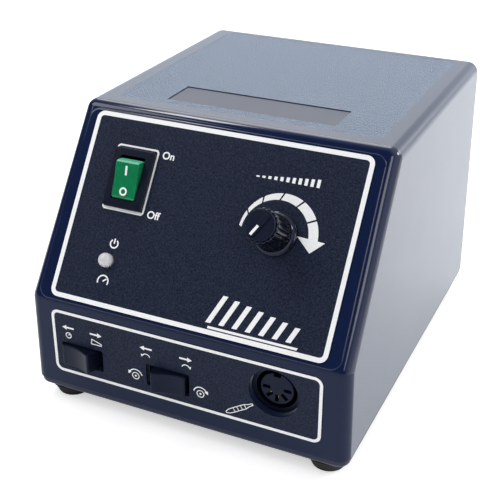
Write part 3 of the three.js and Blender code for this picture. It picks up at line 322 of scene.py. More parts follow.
@dataclass(frozen=True)
class Finish:
    """A finish with the grain that its making leaves. Below the contrast stand the shader's own values.

    Attributes:
        name: The material and how its surface was made.
        colour: Main colour, as sRGB hex.
        mottle: Colour of the grain's peaks.
        roughness: Mean roughness.
        grain: How the surface was made.
        size: Width of one grain, in millimetres.
        relief: Height of the grain, in millimetres.
        spread: How far the roughness wanders either way.
        contrast: How sharply colour and mottle part, from 0 to 1.
    """

    name: str
    colour: str
    mottle: str
    roughness: float
    grain: Grain = Grain.SPARK
    size: float = 0.4
    relief: float = 0.02
    spread: float = 0.05
    contrast: float = 0.3
    metallic: float = 0.0
    ior: float = 1.5
    specular: float = 0.5
    specular_tint: str = "#FFFFFF"
    coat: float = 0.0
    coat_roughness: float = 0.1
    coat_ior: float = 1.5
    sheen: float = 0.0
    sheen_roughness: float = 0.3
    sheen_tint: str = "#FFFFFF"
    transmission: float = 0.0
    subsurface: float = 0.0

    def material(self) -> bpy.types.Material:
        """Returns the finish as a material, built at its first use."""
        known = bpy.data.materials.get(self.name)
        if known:
            return known
        material = bpy.data.materials.new(self.name)
        tree = emptied(material)
        place = add(tree, "ShaderNodeTexCoord").outputs["Object"]
        stretch = Vector(STRETCH.get(self.grain, (1.0, 1.0, 1.0))) / (self.size * MM)
        grains = add(tree, "ShaderNodeMapping", {"Scale": stretch}, {"Vector": place}).outputs[0]
        peaks = self.pattern(tree, grains)
        patches = add(tree, "ShaderNodeTexNoise", {"Scale": PATCHES, "Detail": 2.0}, {"Vector": place})
        half = 0.5 * (1 - self.contrast)
        limits = {"From Min": 0.5 - half, "From Max": 0.5 + half}
        share = add(tree, "ShaderNodeMapRange", limits, {"Value": peaks}).outputs[0]
        mix = {"data_type": "RGBA", 6: linear(self.colour), 7: linear(self.mottle)}
        colour = add(tree, "ShaderNodeMix", mix, {0: share}).outputs[2]
        rough = {"To Min": self.roughness - self.spread, "To Max": self.roughness + self.spread}
        roughness = add(tree, "ShaderNodeMapRange", rough, {"Value": patches.outputs[0]}).outputs[0]
        raised = {"Strength": 1.0, "Distance": self.relief * MM}
        normal = add(tree, "ShaderNodeBump", raised, {"Height": peaks}).outputs[0]
        gloss = {
            "Metallic": self.metallic, "IOR": self.ior, "Specular IOR Level": self.specular,
            "Specular Tint": linear(self.specular_tint),
            "Coat Weight": self.coat, "Coat Roughness": self.coat_roughness, "Coat IOR": self.coat_ior,
            "Sheen Weight": self.sheen, "Sheen Roughness": self.sheen_roughness,
            "Sheen Tint": linear(self.sheen_tint), "Transmission Weight": self.transmission,
            "Subsurface Weight": self.subsurface, "Subsurface Scale": SCATTER,
        }
        fed = {"Base Color": colour, "Roughness": roughness, "Normal": normal, "Coat Normal": normal}
        surface = add(tree, "ShaderNodeBsdfPrincipled", gloss, fed)
        add(tree, "ShaderNodeOutputMaterial", None, {"Surface": surface.outputs[0]})
        return material

    def pattern(self, tree: Tree, grains: Socket) -> Socket:
        """Adds the nodes of the grain.

        Args:
            tree: The material's tree.
            grains: Object coordinates, counted in grains.

        Returns:
            The height of the grain, from 0 to 1.
        """
        if self.grain in (Grain.STACKED, Grain.WOUND):
            axis = "Y" if self.grain is Grain.STACKED else "Z"
            wave = {"wave_type": "BANDS", "bands_direction": axis, "Scale": 1 / math.tau, "Distortion": 0.4}
            return add(tree, "ShaderNodeTexWave", wave, {"Vector": grains}).outputs[1]
        if self.grain is Grain.TRACKS:
            tracks = {"feature": "F1", "distance": "CHEBYCHEV"}
            return add(tree, "ShaderNodeTexVoronoi", tracks, {"Vector": grains}).outputs[0]
        fine = {"Scale": 1.0, "Detail": 3.0, "Roughness": 0.6}
        return add(tree, "ShaderNodeTexNoise", fine, {"Vector": grains}).outputs[0]


# A spark eroded grain is about a tenth of a millimetre wide, and so are the speckles of the films. Both are
# drawn 0.25 to 0.55 mm wide, and so are the brushing and the plating, because finer ones don't show.

# Moulded ABS, spark eroded: a navy matt skin that turns pale where it is seen at a flat angle
CASE_ABS = Finish("navy_abs_spark_eroded", "#0E1A38", "#152344", 0.34, size=0.5, relief=0.012, sheen=1.0,
                  sheen_roughness=0.3, sheen_tint="#DEEAF9", coat=1.0, coat_roughness=0.34, coat_ior=1.38,
                  specular=0.16)
# A shaded copy of the case finish for the upright face: finer grain, and weaker sheen and gloss so that it
# renders darker, a painted shade
FRONT_ABS_SHADED = replace(CASE_ABS, name="navy_abs_fine_grain", roughness=0.4, relief=0.008, sheen=0.4,
                    sheen_tint="#DCECFC", coat_roughness=0.36, coat_ior=1.32, specular=0.0)
# A lit copy of the case finish for the top: finer grain, and stronger, bluer sheen and gloss, a painted
# reflection of bluer light
ROOF_ABS_LIT = replace(CASE_ABS, name="navy_abs_top_grain", size=0.4, sheen_tint="#C8E0FF", coat_ior=1.4,
                   specular_tint="#C8DCFF")
# The border round the controls was polished in the mould, so it mirrors like lacquer
RIM_ABS = Finish("navy_abs_polished", "#0C1A3C", "#101E42", 0.1, Grain.POLISH, size=4.0, relief=0.002,
                 spread=0.02)
# The sunk field of the top has a coarse, deep grain: a pale blue haze full of fine dark dots
FIELD_ABS = Finish("navy_abs_coarse_grain", "#0C1630", "#3E5478", 0.4, size=0.5, relief=0.65, sheen=1.0,
                   sheen_roughness=0.35, sheen_tint="#CCE4FF", coat=1.0, coat_roughness=0.36, coat_ior=1.42,
                   ior=1.4, contrast=0.5)
# Satin ABS of the tray: a soft dark navy without the pale veil
TRAY_ABS = Finish("navy_abs_satin", "#1A243C", "#202A46", 0.4, size=0.5, relief=0.012, sheen=0.3, coat=0.8,
                  coat_roughness=0.36, coat_ior=1.3, ior=1.3)
# Textured polyester film: nearly black, broken up by small bluish speckles
OVERLAY = Finish("polyester_film_speckled", "#0C1222", "#2C344C", 0.5, Grain.SPECKLE, size=0.55,
                 relief=0.03, contrast=0.6, specular=0.14)
# Screen printed ink: an even white with a soft shine
INK = Finish("white_screen_ink", "#F4F6FA", "#FFFFFF", 0.45, Grain.POLISH, size=0.8, relief=0.004)
# Matt polycarbonate sheet: a plain mid grey
LABEL = Finish("polycarbonate_label_matt", "#444A5A", "#505666", 0.45, Grain.BRUSHED, size=0.5, relief=0.006,
               specular=0.4)
# Moulded nylon: a blue-tinged black with a dull shine
BLACK_NYLON = Finish("black_nylon_moulded", "#080B14", "#101524", 0.4, size=0.3, relief=0.01, specular=0.35,
                     specular_tint="#BCCCFF")
# Polycarbonate from a polished mould: a deeper black with broad soft highlights
BLACK_GLOSS = Finish("black_polycarbonate_polished", "#0A0E1A", "#101526", 0.3, Grain.POLISH, size=2.0,
                     relief=0.004, specular=0.35, specular_tint="#BCCCFF")
# ABS of the knob from a polished mould: the darkest black, with narrow highlights down the flutes
KNOB_ABS = Finish("black_abs_knob", "#04060E", "#0A0D18", 0.14, Grain.POLISH, size=2.0, relief=0.002,
                  spread=0.03, specular_tint="#D0DCFF")
# Matt ABS of the knob's cap: a greyer black than the grip's
CAP_ABS = Finish("black_abs_cap_matt", "#0D1220", "#171D30", 0.42, size=0.3, relief=0.01, specular=0.35,
                 specular_tint="#BCCCFF")
# Tinted clear polycarbonate: a deep green that light passes into
GREEN_LENS = Finish("green_polycarbonate_lens", "#048A56", "#10A066", 0.16, Grain.POLISH, size=3.0,
                    relief=0.01, transmission=0.35, subsurface=0.2, ior=1.58)
# The end of the lens that stands out: rougher, and painted paler than the faces, a painted highlight for the
# light that gathers there
GREEN_END_LIT = Finish("green_polycarbonate_frosted", "#3FB48A", "#62C8A2", 0.34, Grain.POLISH, size=1.2,
                   relief=0.02, transmission=0.2, ior=1.58)
# Cast epoxy with a haze in it: milky, with a sharp highlight
CLEAR_RESIN = Finish("milky_epoxy_lens", "#F2F2F6", "#FCFCFE", 0.1, Grain.POLISH, size=2.0, relief=0.01,
                     transmission=0.5, ior=1.53)
# Moulded diffuser: the white heart that shows through the lamp's lens
LAMP_CUP = Finish("diffuser_cup_white", "#ECEAEC", "#F8F6F8", 0.4, Grain.POLISH, size=1.0, relief=0.01)
# Moulded rubber: a dull, neutral black
RUBBER = Finish("black_rubber_moulded", "#0B0B0D", "#151518", 0.75, size=0.25, relief=0.02)
# Barrel plated zinc on steel: a cool, slightly cloudy grey metal
ZINC = Finish("steel_zinc_plated", "#A8ADB5", "#C4C8CE", 0.32, Grain.PLATED, size=1.2, relief=0.006,
              metallic=1.0)
# Powder coating on steel: a dark grey with the dimples of orange peel
PANEL = Finish("steel_powder_coated", "#15171C", "#20232A", 0.48, size=0.6, relief=0.05)
# Stamped brass: yellow metal with fine marks of the rolling
BRASS = Finish("brass_stamped", "#B8954A", "#D2B26A", 0.28, Grain.BRUSHED, size=0.3, relief=0.004,
               metallic=1.0)
# Blown glass of the switch's lamp: clear amber
AMBER = Finish("amber_lamp_glass", "#E89A38", "#F2AE50", 0.1, Grain.POLISH, size=2.0, relief=0.002,
               transmission=0.7)
# Stacked silicon steel sheets: a dark grey metal lined across by the edges of the sheets
CORE_STEEL = Finish("silicon_steel_laminated", "#45484D", "#63666C", 0.5, Grain.STACKED, size=0.35,
                    relief=0.04, metallic=0.8)
# Polyester tape wound over wire: a shiny yellow that shows the turns below it
TAPE = Finish("polyester_tape_wound", "#B99324", "#D2AE3E", 0.38, Grain.WOUND, size=0.5, relief=0.06)
# Lacquered glass epoxy board: green, with paler tracks
BOARD = Finish("epoxy_board_lacquered", "#1F5A33", "#2F7A48", 0.35, Grain.TRACKS, size=2.5, relief=0.03)
# Extruded aluminium: a pale grey metal with the lines of the die
SINK = Finish("aluminium_extruded", "#9DA2A8", "#B4B8BD", 0.4, Grain.BRUSHED, size=0.3, relief=0.01,
              metallic=1.0)
# Shrunk PVC sleeve: a smooth dark blue with soft highlights
SLEEVE = Finish("pvc_sleeve_shrunk", "#141A2C", "#1D2540", 0.3, Grain.POLISH, size=1.5, relief=0.01)
# Drawn glass tube: clear and nearly colourless
FUSE_GLASS = Finish("glass_fuse_tube", "#D8DDE0", "#E8ECEE", 0.1, Grain.POLISH, size=2.0, relief=0.002,
                    transmission=0.6)


# Pieces


def linked(name: str, data: bpy.types.ID) -> Piece:
    """Returns a new object that holds the data, in the scene."""
    thing = bpy.data.objects.new(name, data)
    bpy.context.scene.collection.objects.link(thing)
    return thing


def evaluated(piece: Piece) -> bpy.types.Mesh:
    """Returns a new mesh of what an object's modifiers make of it."""
    bpy.context.view_layer.update()
    graph = bpy.context.evaluated_depsgraph_get()
    return bpy.data.meshes.new_from_object(piece.evaluated_get(graph))


def make(name: str, shape: Shape, *finishes: Finish, place: Optional[Matrix] = None) -> Piece:
    """Turns a shape to a linked object.

    Args:
        name: The piece's name.
        shape: The solid, which is freed.
        finishes: Its finishes, in the order of the faces' material numbers.
        place: Where it goes, in millimetres of the shared frame.

    Returns:
        The new object.
    """
    if place is not None:
        moved(shape, place)
    mesh = bpy.data.meshes.new(name)
    shape.to_mesh(mesh)
    shape.free()
    for finish in finishes:
        mesh.materials.append(finish.material())
    return linked(name, mesh)


def baked(piece: Piece) -> Piece:
    """Puts what an object's modifiers make of it in its mesh, and takes them off.

    Args:
        piece: The object.

    Returns:
        The object.
    """
    mesh, old = evaluated(piece), piece.data
    piece.modifiers.clear()
    piece.data = mesh
    mesh.name = piece.name
    bpy.data.meshes.remove(old)
    return piece


def combine(piece: Piece, tools: Sequence[Piece], operation: str) -> Piece:
    """Cuts tools out of a piece or joins them to it, and removes them.

    Args:
        piece: What is changed. Its new faces take the tool's material.
        tools: Closed solids.
        operation: Blender's name of it.

    Returns:
        The piece.
    """
    for tool in tools:
        step = piece.modifiers.new("combine", "BOOLEAN")
        step.operation = operation
        step.solver = "EXACT"
        step.material_mode = "TRANSFER"
        step.object = tool
    baked(piece)
    for tool in tools:
        bpy.data.objects.remove(tool)
    return piece


def cut(piece: Piece, *tools: Piece) -> Piece:
    """Cuts tools out of a piece."""
    return combine(piece, tools, "DIFFERENCE")


def join(piece: Piece, *tools: Piece) -> Piece:
    """Joins tools to a piece."""
    return combine(piece, tools, "UNION")


def shape_of(mesh: bpy.types.Mesh) -> Shape:
    """Returns a mesh as a shape, and removes the mesh."""
    shape = bmesh.new()
    shape.from_mesh(mesh)
    bpy.data.meshes.remove(mesh)
    return shape


def taken(piece: Piece) -> Shape:
    """Returns an object as a shape, and removes the object."""
    mesh = piece.data
    bpy.data.objects.remove(piece)
    return shape_of(mesh)


def settle(piece: Piece, nodes: Sequence[str] = (), body: str = ROOT) -> None:
    """Turns a piece to metres, with smooth rounds and crisp edges, and hands it to the frame.

    Args:
        piece: The object, in millimetres.
        nodes: CAD nodes that it stands for.
        body: The body that it rides on.
    """
    mesh = piece.data
    mesh.transform(Matrix.Scale(MM, 4))
    shape = bmesh.new()
    shape.from_mesh(mesh)
    bmesh.ops.remove_doubles(shape, verts=shape.verts, dist=MERGE_REACH)
    bmesh.ops.dissolve_degenerate(shape, edges=shape.edges, dist=MERGE_REACH)
    bmesh.ops.recalc_face_normals(shape, faces=shape.faces)
    shape.to_mesh(mesh)
    shape.free()
    mesh.shade_smooth()
    mesh.set_sharp_from_angle(angle=SHARP_ANGLE)
    even = piece.modifiers.new("even_normals", "WEIGHTED_NORMAL")
    even.keep_sharp = True
    even.weight = 80
    baked(piece)
    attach(piece, body)
    if nodes:
        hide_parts(*nodes)
    log.info("%s: %d faces on %s, stands for %s", piece.name, len(piece.data.polygons), body, list(nodes))


def dress(finish: Finish, *nodes: str) -> None:
    """Gives a finish to CAD nodes whose shape stays."""
    for name in nodes:
        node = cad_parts[name]
        node.data.materials.clear()
        node.data.materials.append(finish.material())
        log.info("%s: kept from the frame in %s", name, finish.name)


def repeat_tree() -> Tree:
    """Returns the geometry tree that sets copies of a piece in a row or a ring."""
    tree = bpy.data.node_groups.get("row_or_ring")
    if tree:
        return tree
    tree = bpy.data.node_groups.new("row_or_ring", "GeometryNodeTree")
    kinds = {"Piece": "Object", "Count": "Int", "First": "Vector", "Step": "Vector", "Turn": "Float"}
    for label, kind in {**kinds, "Material": "Material"}.items():
        tree.interface.new_socket(label, in_out="INPUT", socket_type=f"NodeSocket{kind}")
    tree.interface.new_socket("Geometry", in_out="OUTPUT", socket_type="NodeSocketGeometry")
    given = add(tree, "NodeGroupInput").outputs
    index = add(tree, "GeometryNodeInputIndex").outputs[0]
    steps = add(tree, "ShaderNodeVectorMath", {"operation": "SCALE"}, {0: given["Step"], "Scale": index})
    place = add(tree, "ShaderNodeVectorMath", {"operation": "ADD"}, {0: given["First"], 1: steps.outputs[0]})
    angle = add(tree, "ShaderNodeMath", {"operation": "MULTIPLY"}, {0: given["Turn"], 1: index})
    turns = add(tree, "ShaderNodeCombineXYZ", None, {"Z": angle.outputs[0]})
    points = add(tree, "GeometryNodePoints", None, {"Count": given["Count"], "Position": place.outputs[0]})
    piece = add(tree, "GeometryNodeObjectInfo", {"transform_space": "ORIGINAL"}, {"Object": given["Piece"]})
    links = {"Points": points.outputs[0], "Instance": piece.outputs["Geometry"], "Rotation": turns.outputs[0]}
    copies = add(tree, "GeometryNodeInstanceOnPoints", None, links)
    real = add(tree, "GeometryNodeRealizeInstances", None, {0: copies.outputs[0]})
    dressed = add(tree, "GeometryNodeSetMaterial", None, {0: real.outputs[0], "Material": given["Material"]})
    add(tree, "NodeGroupOutput", None, {0: dressed.outputs[0]})
    return tree


def repeated(name: str, shape: Shape, finish: Finish, count: int,
             first: Sequence[float] = (0, 0, 0), step: Sequence[float] = (0, 0, 0),
             turn_degrees: float = 0.0, place: Optional[Matrix] = None) -> Piece:
    """Sets copies of a shape in a row or a ring with geometry nodes.

    Args:
        name: Name of the result.
        shape: What repeats, which is freed.
        finish: Its finish.
        count: How many copies.
        first: Place of the first copy.
        step: From one copy to the next.
        turn_degrees: Turn about Z between copies.
        place: Where the whole set goes.

    Returns:
        One plain mesh object.
    """
    pattern = make(f"{name}_one", shape, finish)
    holder = make(name, bmesh.new(), finish)
    modifier = holder.modifiers.new("copies", "NODES")
    modifier.node_group = repeat_tree()
    sockets = {item.name: item.identifier for item in modifier.node_group.interface.items_tree}
    values = {"Piece": pattern, "Count": count, "First": [float(v) for v in first]}
    values |= {"Step": [float(v) for v in step], "Turn": math.radians(turn_degrees)}
    for label, value in {**values, "Material": finish.material()}.items():
        modifier[sockets[label]] = value
    baked(holder)
    bpy.data.objects.remove(pattern)
    if place is not None:
        holder.data.transform(place)
    return holder


@dataclass(frozen=True)
class Side:
    """A flat side of the case. Local X runs across it, local Y up it and local Z out of it."""

    origin: Vector
    up: Vector
    out: Vector

    def at(self, x: float = 0.0, y: float = 0.0, lift: float = 0.0, degrees: float = 0.0) -> Matrix:
        """Returns the matrix of a place on the side, in millimetres."""
        turned_axes = Matrix((self.up.cross(self.out), self.up, self.out)).transposed().to_4x4()
        return Matrix.Translation(self.origin) @ turned_axes @ shift(x, y, lift) @ turn(degrees)


@dataclass
class CaseForm:
    """Outer form of the case, in millimetres. Its reach is read from the frame.

    The zones count points up the profile, and part the finishes of the upright face, the slope, the top and
    the back.
    """

    side_draft: float = 1.9
    rear_draft: float = 1.9
    lower_face: float = 37.2
    slope_run: float = 41.4
    wall: float = 2.6
    edge: float = 4.0
    fold: float = 4.3
    rear_top: float = 5.0
    seam_height: float = 3.0
    zones: tuple[int, int, int] = (6, 22, 33)
    tray_inset: float = 0.4
    gap: float = 0.3

    def __post_init__(self) -> None:
        """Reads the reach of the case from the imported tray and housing, and finds its four sides."""
        low, high = (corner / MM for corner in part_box("base_tray"))
        self.front = low.y - self.tray_inset
        self.rear = high.y + self.tray_inset
        self.half = high.x + self.tray_inset
        self.foot = low.z
        self.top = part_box("upper_housing")[1].z / MM
        # Heights of the joint with the tray and of the bend from the lower face to the slope
        self.seam, self.bend = self.foot + self.seam_height, self.foot + self.lower_face
        self.slope_length = math.hypot(self.slope_run, self.top - self.bend)
        fold, rear_edge = self.front + self.slope_run, self.rear - self.rear_draft
        self.lower = self.side((self.front, self.foot), (self.front, self.bend))
        self.slope = self.side((self.front, self.bend), (fold, self.top))
        self.roof = self.side((fold, self.top), (self.rear, self.top))
        # The local X of the back runs to the left
        self.back = self.side((self.rear, self.foot), (rear_edge, self.top), -1)

    def half_width(self, height: float) -> float:
        """Returns half the width of the case at a height."""
        return self.half - self.side_draft * (height - self.foot) / (self.top - self.foot)

    def side(self, low: Point, high: Point, facing: int = 1) -> Side:
        """Returns the side that runs from one point of the profile to another."""
        up = Vector((0, high[0] - low[0], high[1] - low[1])).normalized()
        return Side(Vector((0, *low)), up, Vector((0, -facing * up.z, facing * up.y)))

    def profile(self, inset: float) -> list[Point]:
        """Draws the line over the case from the front of the seam to its rear.

        Args:
            inset: How far it lies inside the outer skin.

        Returns:
            Points of Y and Z, as many for any inset.
        """
        lean = self.rear_draft / (self.top - self.foot)
        slope = self.slope_run / (self.top - self.bend)
        tilt, fall = math.atan(slope), math.atan(lean)
        bend_drop = inset * math.tan(tilt / 2)
        fold_run = inset * math.tan((math.pi / 2 - tilt) / 2)
        top_run = inset * math.tan((math.pi / 2 - fall) / 2)
        corners = [
            (self.front + inset, self.seam),
            (self.front + inset, self.bend - bend_drop),
            (self.front + self.slope_run + fold_run, self.top - inset),
            (self.rear - self.rear_draft - top_run, self.top - inset),
            (self.rear - lean * self.seam_height - inset / math.cos(fall), self.seam),
        ]
        radii = [0, self.fold - inset, self.fold - inset, self.rear_top - inset, 0]
        return rounded(corners, radii, 10, closed=False)

    def skin_rings(self, wall: float, steps: int = 10) -> list[Ring]:
        """Sets the profile at stations across the case, from the left side to the right one.

        Args:
            wall: How far the skin lies inside the outer one.
            steps: Straight pieces in the rounding of each side.

        Returns:
            One ring for each station.
        """
        radius = self.edge - wall
        half = []
        for step in range(steps + 1):
            angle = math.pi / 2 * step / steps
            half.append((self.edge - radius * math.cos(angle), self.edge - radius * math.sin(angle)))
        stations = [(-1, inward, inset) for inward, inset in half]
        stations += [(1, inward, inset) for inward, inset in reversed(half)]
        rings = []
        for sign, inward, inset in stations:
            line = self.profile(inset)
            rings.append([Vector((sign * (self.half_width(z) - inward), y, z)) for y, z in line])
        return rings

    def shell(self) -> Shape:
        """Returns the moulded shell: both skins, with the flat edge of the seam between them."""
        shape = bmesh.new()
        skins = []
        for wall in (0.0, self.wall):
            rows = [[shape.verts.new(point) for point in ring] for ring in self.skin_rings(wall)]
            for left, right in zip(rows, rows[1:]):
                for index in range(len(left) - 1):
                    skin = shape.faces.new((left[index], right[index], right[index + 1], left[index + 1]))
                    if wall == 0 and index < self.zones[2]:
                        skin.material_index = 1 + sum(index >= zone for zone in self.zones[:2])
            shape.faces.new(rows[0])
            shape.faces.new(rows[-1])
            skins.append(rows)
        outer, inner = skins
        for end in (0, -1):
            for index in range(len(outer) - 1):
                corners = (outer[index][end], outer[index + 1][end], inner[index + 1][end], inner[index][end])
                shape.faces.new(corners)
            shape.faces.new((outer[end][0], outer[end][-1], inner[end][-1], inner[end][0]))
        bmesh.ops.recalc_face_normals(shape, faces=shape.faces)
        return shape


# Places on the sides of the case, across and up

POWER_AT = (-31.9, 46.3)
LAMP_AT = (-32.8, 17.5)
KNOB_AT = (24.9, 38.0)
FEED_AT = (-38.9, 16.8)
DIRECTION_AT = (-5.1, 16.8)
SOCKET_AT = (33.9, 23.1)
INLET_AT = (-19.9, 34.0)
INLET_SCREW = 20.0
FUSE_AT = (34.9, 43.0)
JACK_AT = (34.9, 22.0)

# Places on the tray, across and back from the front of the case

FOOT_AT = [(-50.5, 9.5), (50.5, 9.5), (-50.5, 140.5), (50.5, 140.5)]
CORE_AT = (-21.5, 75.0)
BOARD_CORNERS = [(16.5, 24.5), (48.5, 24.5), (16.5, 110.5), (48.5, 110.5)]
MOUNT_AT = [(-47.5, 75.0), (4.5, 75.0)]

# How far the films, the panel and inner pieces lie above or below the skin
SLOPE_FACE = 0.5
LOWER_FACE = 0.1
INNER_FACE = -2.9

# How far flanges and nuts stay off the face that they sit on
FLANGE_GAP = 0.3

# Openings that several pieces share: width and height, or radius
SCREW_HOLE = 1.8
POWER_HOLE = (13.1, 19.3)
LAMP_HOLE = 2.8
BUSH_HOLE = 4.1
PADDLE_SLOT = (16.5, 8.5)
SOCKET_HOLE = 8.8


def hole(name: str, outline: Sequence[Point], at: Sequence[float], reach: Point, finish: Finish,
         side: Optional[Side] = None) -> Piece:
    """Returns a cutter that reaches from one height to another, placed on a side or in the shared frame."""
    return make(name, slab(outline, *reach), finish, place=side.at(*at) if side else shift(*at))


def slope_holes(side: Side, reach: Point, finish: Finish, corner: float = 0.0) -> list[Piece]:
    """Returns the cutters for the switch, with its corner radius, for the lamp and for the knob's bush."""
    return [
        hole("power_hole", rectangle(*POWER_HOLE, corner), POWER_AT, reach, finish, side),
        hole("lamp_hole", circle(LAMP_HOLE, 32), LAMP_AT, reach, finish, side),
        hole("bush_hole", circle(BUSH_HOLE, 32), KNOB_AT, reach, finish, side),
    ]


def lower_holes(side: Side, reach: Point, finish: Finish) -> list[Piece]:
    """Returns the cutters for the two paddles and for the motor socket."""
    slot = rectangle(*PADDLE_SLOT, 0.5)
    return [
        hole("feed_slot", slot, FEED_AT, reach, finish, side),
        hole("direction_slot", slot, DIRECTION_AT, reach, finish, side),
        hole("socket_hole", circle(SOCKET_HOLE, 64), SOCKET_AT, reach, finish, side),
    ]


def cross_screw(profile: Sequence[Point], cross: float, reach: Point) -> Shape:
    """Returns a screw turned from its profile, with a cross recess of a length and a reach in its head."""
    screw = make("screw", turned(profile, 32), ZINC)
    arms = [rectangle(*size, 0.1, 1) for size in ((0.7, cross), (cross, 0.7))]
    return taken(cut(screw, *[make("arm", slab(arm, *reach), ZINC) for arm in arms]))


# Case


@dataclass
class UpperHousing:
    """Moulded upper half of the case, with its rim, pockets, openings and screw bosses."""

    form: CaseForm
    rim_inset: float = 3.4
    rim_rise: float = 0.4
    rim_edge: float = 1.0
    rim_low: float = 0.2
    rim_high: float = 2.3
    rim_corner: float = 4.0
    control_pocket: Triple = (102.8, 67.6, 35.1)
    socket_pocket: Triple = (102.0, 25.9, 21.05)
    top_field: Triple = (97.4, 91.0, 53.5)
    label_recess: Triple = (63.6, 15.8, 20.0)
    rear_window: Triple = (95.8, 73.02, 47.51)
    drill: Point = (-8.0, 5.0)
    boss_radius: float = 4.0
    boss_height: float = 7.0
    bore_height: float = 5.5
    web: float = 4.0

    def rim(self) -> Shape:
        """Returns the raised border of the slope, with its upper edge rounded."""
        form, rise = self.form, self.rim_rise
        share = (form.top - form.bend) / form.slope_length
        low, high = self.rim_low, form.slope_length - self.rim_high
        wide, narrow = (form.half_width(form.bend + up * share) - self.rim_inset for up in (low, high))
        corners = [(-wide, low), (wide, low), (narrow, high), (-narrow, high)]
        outline = rounded(corners, self.rim_corner, 10)
        curve = [(inward * self.rim_edge / rise, drop) for inward, drop in edge_curve(rise, 6)]
        rings = [level(shrunk(outline, inward), rise - drop) for inward, drop in curve]
        return loft([level(outline, -form.wall / 2), *rings])

    def recess(self, name: str, size: Triple, side: Side, floor: float, radius: float, finish: Finish,
               top: float = 5.0, flare: float = 0.0) -> Piece:
        """Makes a cutter for a rounded recess.

        Args:
            name: Name of the cutter.
            size: Width, length and middle up the side.
            side: The side.
            floor: Height of its floor.
            radius: Radius of its corners.
            finish: Finish of the cut.
            top: Height of the cutter's upper end.
            flare: How much wider it is at the surface.

        Returns:
            The cutter.
        """
        width, length, middle = size
        outline = rectangle(width, length, radius)
        mouth = shrunk(outline, -flare)
        bend = 0.0 if flare else floor + 0.01
        shape = loft([level(outline, floor), level(mouth, bend), level(mouth, top)])
        return make(name, shape, finish, place=side.at(0, middle))

    def bosses(self) -> list[Piece]:
        """Returns the four screw bosses and the webs that tie them to the side walls."""
        made = []
        low, high = self.form.seam, self.form.seam + self.boss_height
        for x, y in FOOT_AT:
            reach = self.form.half_width(low) - self.form.wall / 2 - abs(x)
            back = self.form.front + y
            post = slab(circle(self.boss_radius, 32), low, high)
            made.append(make("boss", post, CASE_ABS, place=shift(x, back)))
            web = slab(rectangle(reach, self.web), low + self.web, high)
            outward = math.copysign(reach / 2, x)
            made.append(make("web", web, CASE_ABS, place=shift(x + outward, back)))
        return made

    def build(self) -> None:
        """Makes the housing and hands it to the frame."""
        form = self.form
        # The upright face takes a shaded copy of the case finish, a painted shade, and the top a lit, bluer
        # copy, a painted light
        body = make("upper_housing", form.shell(), CASE_ABS, FRONT_ABS_SHADED, RIM_ABS, ROOF_ABS_LIT)
        border = make("rim", self.rim(), RIM_ABS, place=form.slope.at())
        join(body, border, *self.bosses())
        pockets = [
            self.recess("control_pocket", self.control_pocket, form.slope, -0.3, 3.2, RIM_ABS),
            self.recess("socket_pocket", self.socket_pocket, form.lower, -0.7, 3.2, CASE_ABS),
            self.recess("top_field", self.top_field, form.roof, -0.2, 3.0, FIELD_ABS, flare=1.0),
            self.recess("label_recess", self.label_recess, form.roof, -1.2, 0.5, CASE_ABS, top=-0.1),
        ]
        openings = slope_holes(form.slope, self.drill, RIM_ABS, 0.4)
        openings += lower_holes(form.lower, self.drill, CASE_ABS)
        window = self.recess("rear_window", self.rear_window, form.back, self.drill[0], 3.0, CASE_ABS)
        depth = (form.seam - 5, form.seam + self.bore_height)
        bore = circle(SCREW_HOLE, 24)
        bores = [hole("screw_hole", bore, (x, form.front + y), depth, CASE_ABS) for x, y in FOOT_AT]
        cut(body, *pockets, *openings, window, *bores)
        settle(body, ["upper_housing"])


@dataclass
class BaseTray:
    """Lower half of the case, with a lip that locates the housing, vents and posts.

    A post is given as its radius, its height, its peg's radius and how far the peg rises.
    """

    form: CaseForm
    edge: float = 1.5
    floor: float = 2.5
    lip: float = 1.6
    lip_height: float = 3.5
    vent: Point = (3.0, 36.0)
    vents: int = 5
    vent_pitch: float = 8.0
    standoff: tuple[float, float, float, float] = (3.0, 5.0, 1.2, 3.2)
    mount: tuple[float, float, float, float] = (3.6, 2.0, 1.6, 1.4)

    def post(self, radius: float, height: float, peg: float, rise: float) -> Shape:
        """Returns a post with a locating peg, which starts inside the floor's thickness."""
        floor = self.form.foot + self.floor
        low, top, tip = floor - 1, floor + height, floor + height + rise
        profile = [(0, low), (radius, low), (radius, top), (peg, top), (peg, tip - 0.3), (peg - 0.3, tip)]
        return turned([*profile, (0, tip)], 24)

    def build(self) -> None:
        """Makes the tray and hands it to the frame."""
        form = self.form
        low, floor_top, seam = form.foot, form.foot + self.floor, form.seam
        width, length = 2 * (form.half - form.tray_inset), form.rear - form.front - 2 * form.tray_inset
        middle = shift(0, (form.front + form.rear) / 2)
        outer = slab(rectangle(width, length, form.edge, 8), low, seam - form.gap, bottom=self.edge)
        body = make("base_tray", outer, TRAY_ABS, place=middle)
        step = 2 * (form.wall + form.gap)
        lip_outline = rectangle(width - step, length - step, form.edge, 8)
        lip = band(lip_outline, self.lip, floor_top - 1, seam + self.lip_height)
        join(body, make("lip", lip, TRAY_ABS, place=middle))
        inside = slab(shrunk(lip_outline, self.lip), floor_top, seam + self.lip_height + 1)
        through = (low - 1, floor_top + 1)
        cutters = [make("inside", inside, TRAY_ABS, place=middle)]
        for x, y in FOOT_AT:
            cutters.append(hole("screw_hole", circle(SCREW_HOLE, 24), (x, form.front + y), through, TRAY_ABS))
        slot = slab(rectangle(*self.vent, 1.0, 4), *through)
        place = shift(CORE_AT[0], form.front + CORE_AT[1])
        first, pitch = (-self.vent_pitch * (self.vents - 1) / 2, 0, 0), (self.vent_pitch, 0, 0)
        cutters.append(repeated("tray_vents", slot, TRAY_ABS, self.vents, first, pitch, place=place))
        cut(body, *cutters)
        posts = [(at, self.standoff) for at in BOARD_CORNERS] + [(at, self.mount) for at in MOUNT_AT]
        join(body, *[make("post", self.post(*sizes), TRAY_ABS, place=shift(x, form.front + y))
                     for (x, y), sizes in posts])
        settle(body, ["base_tray"])


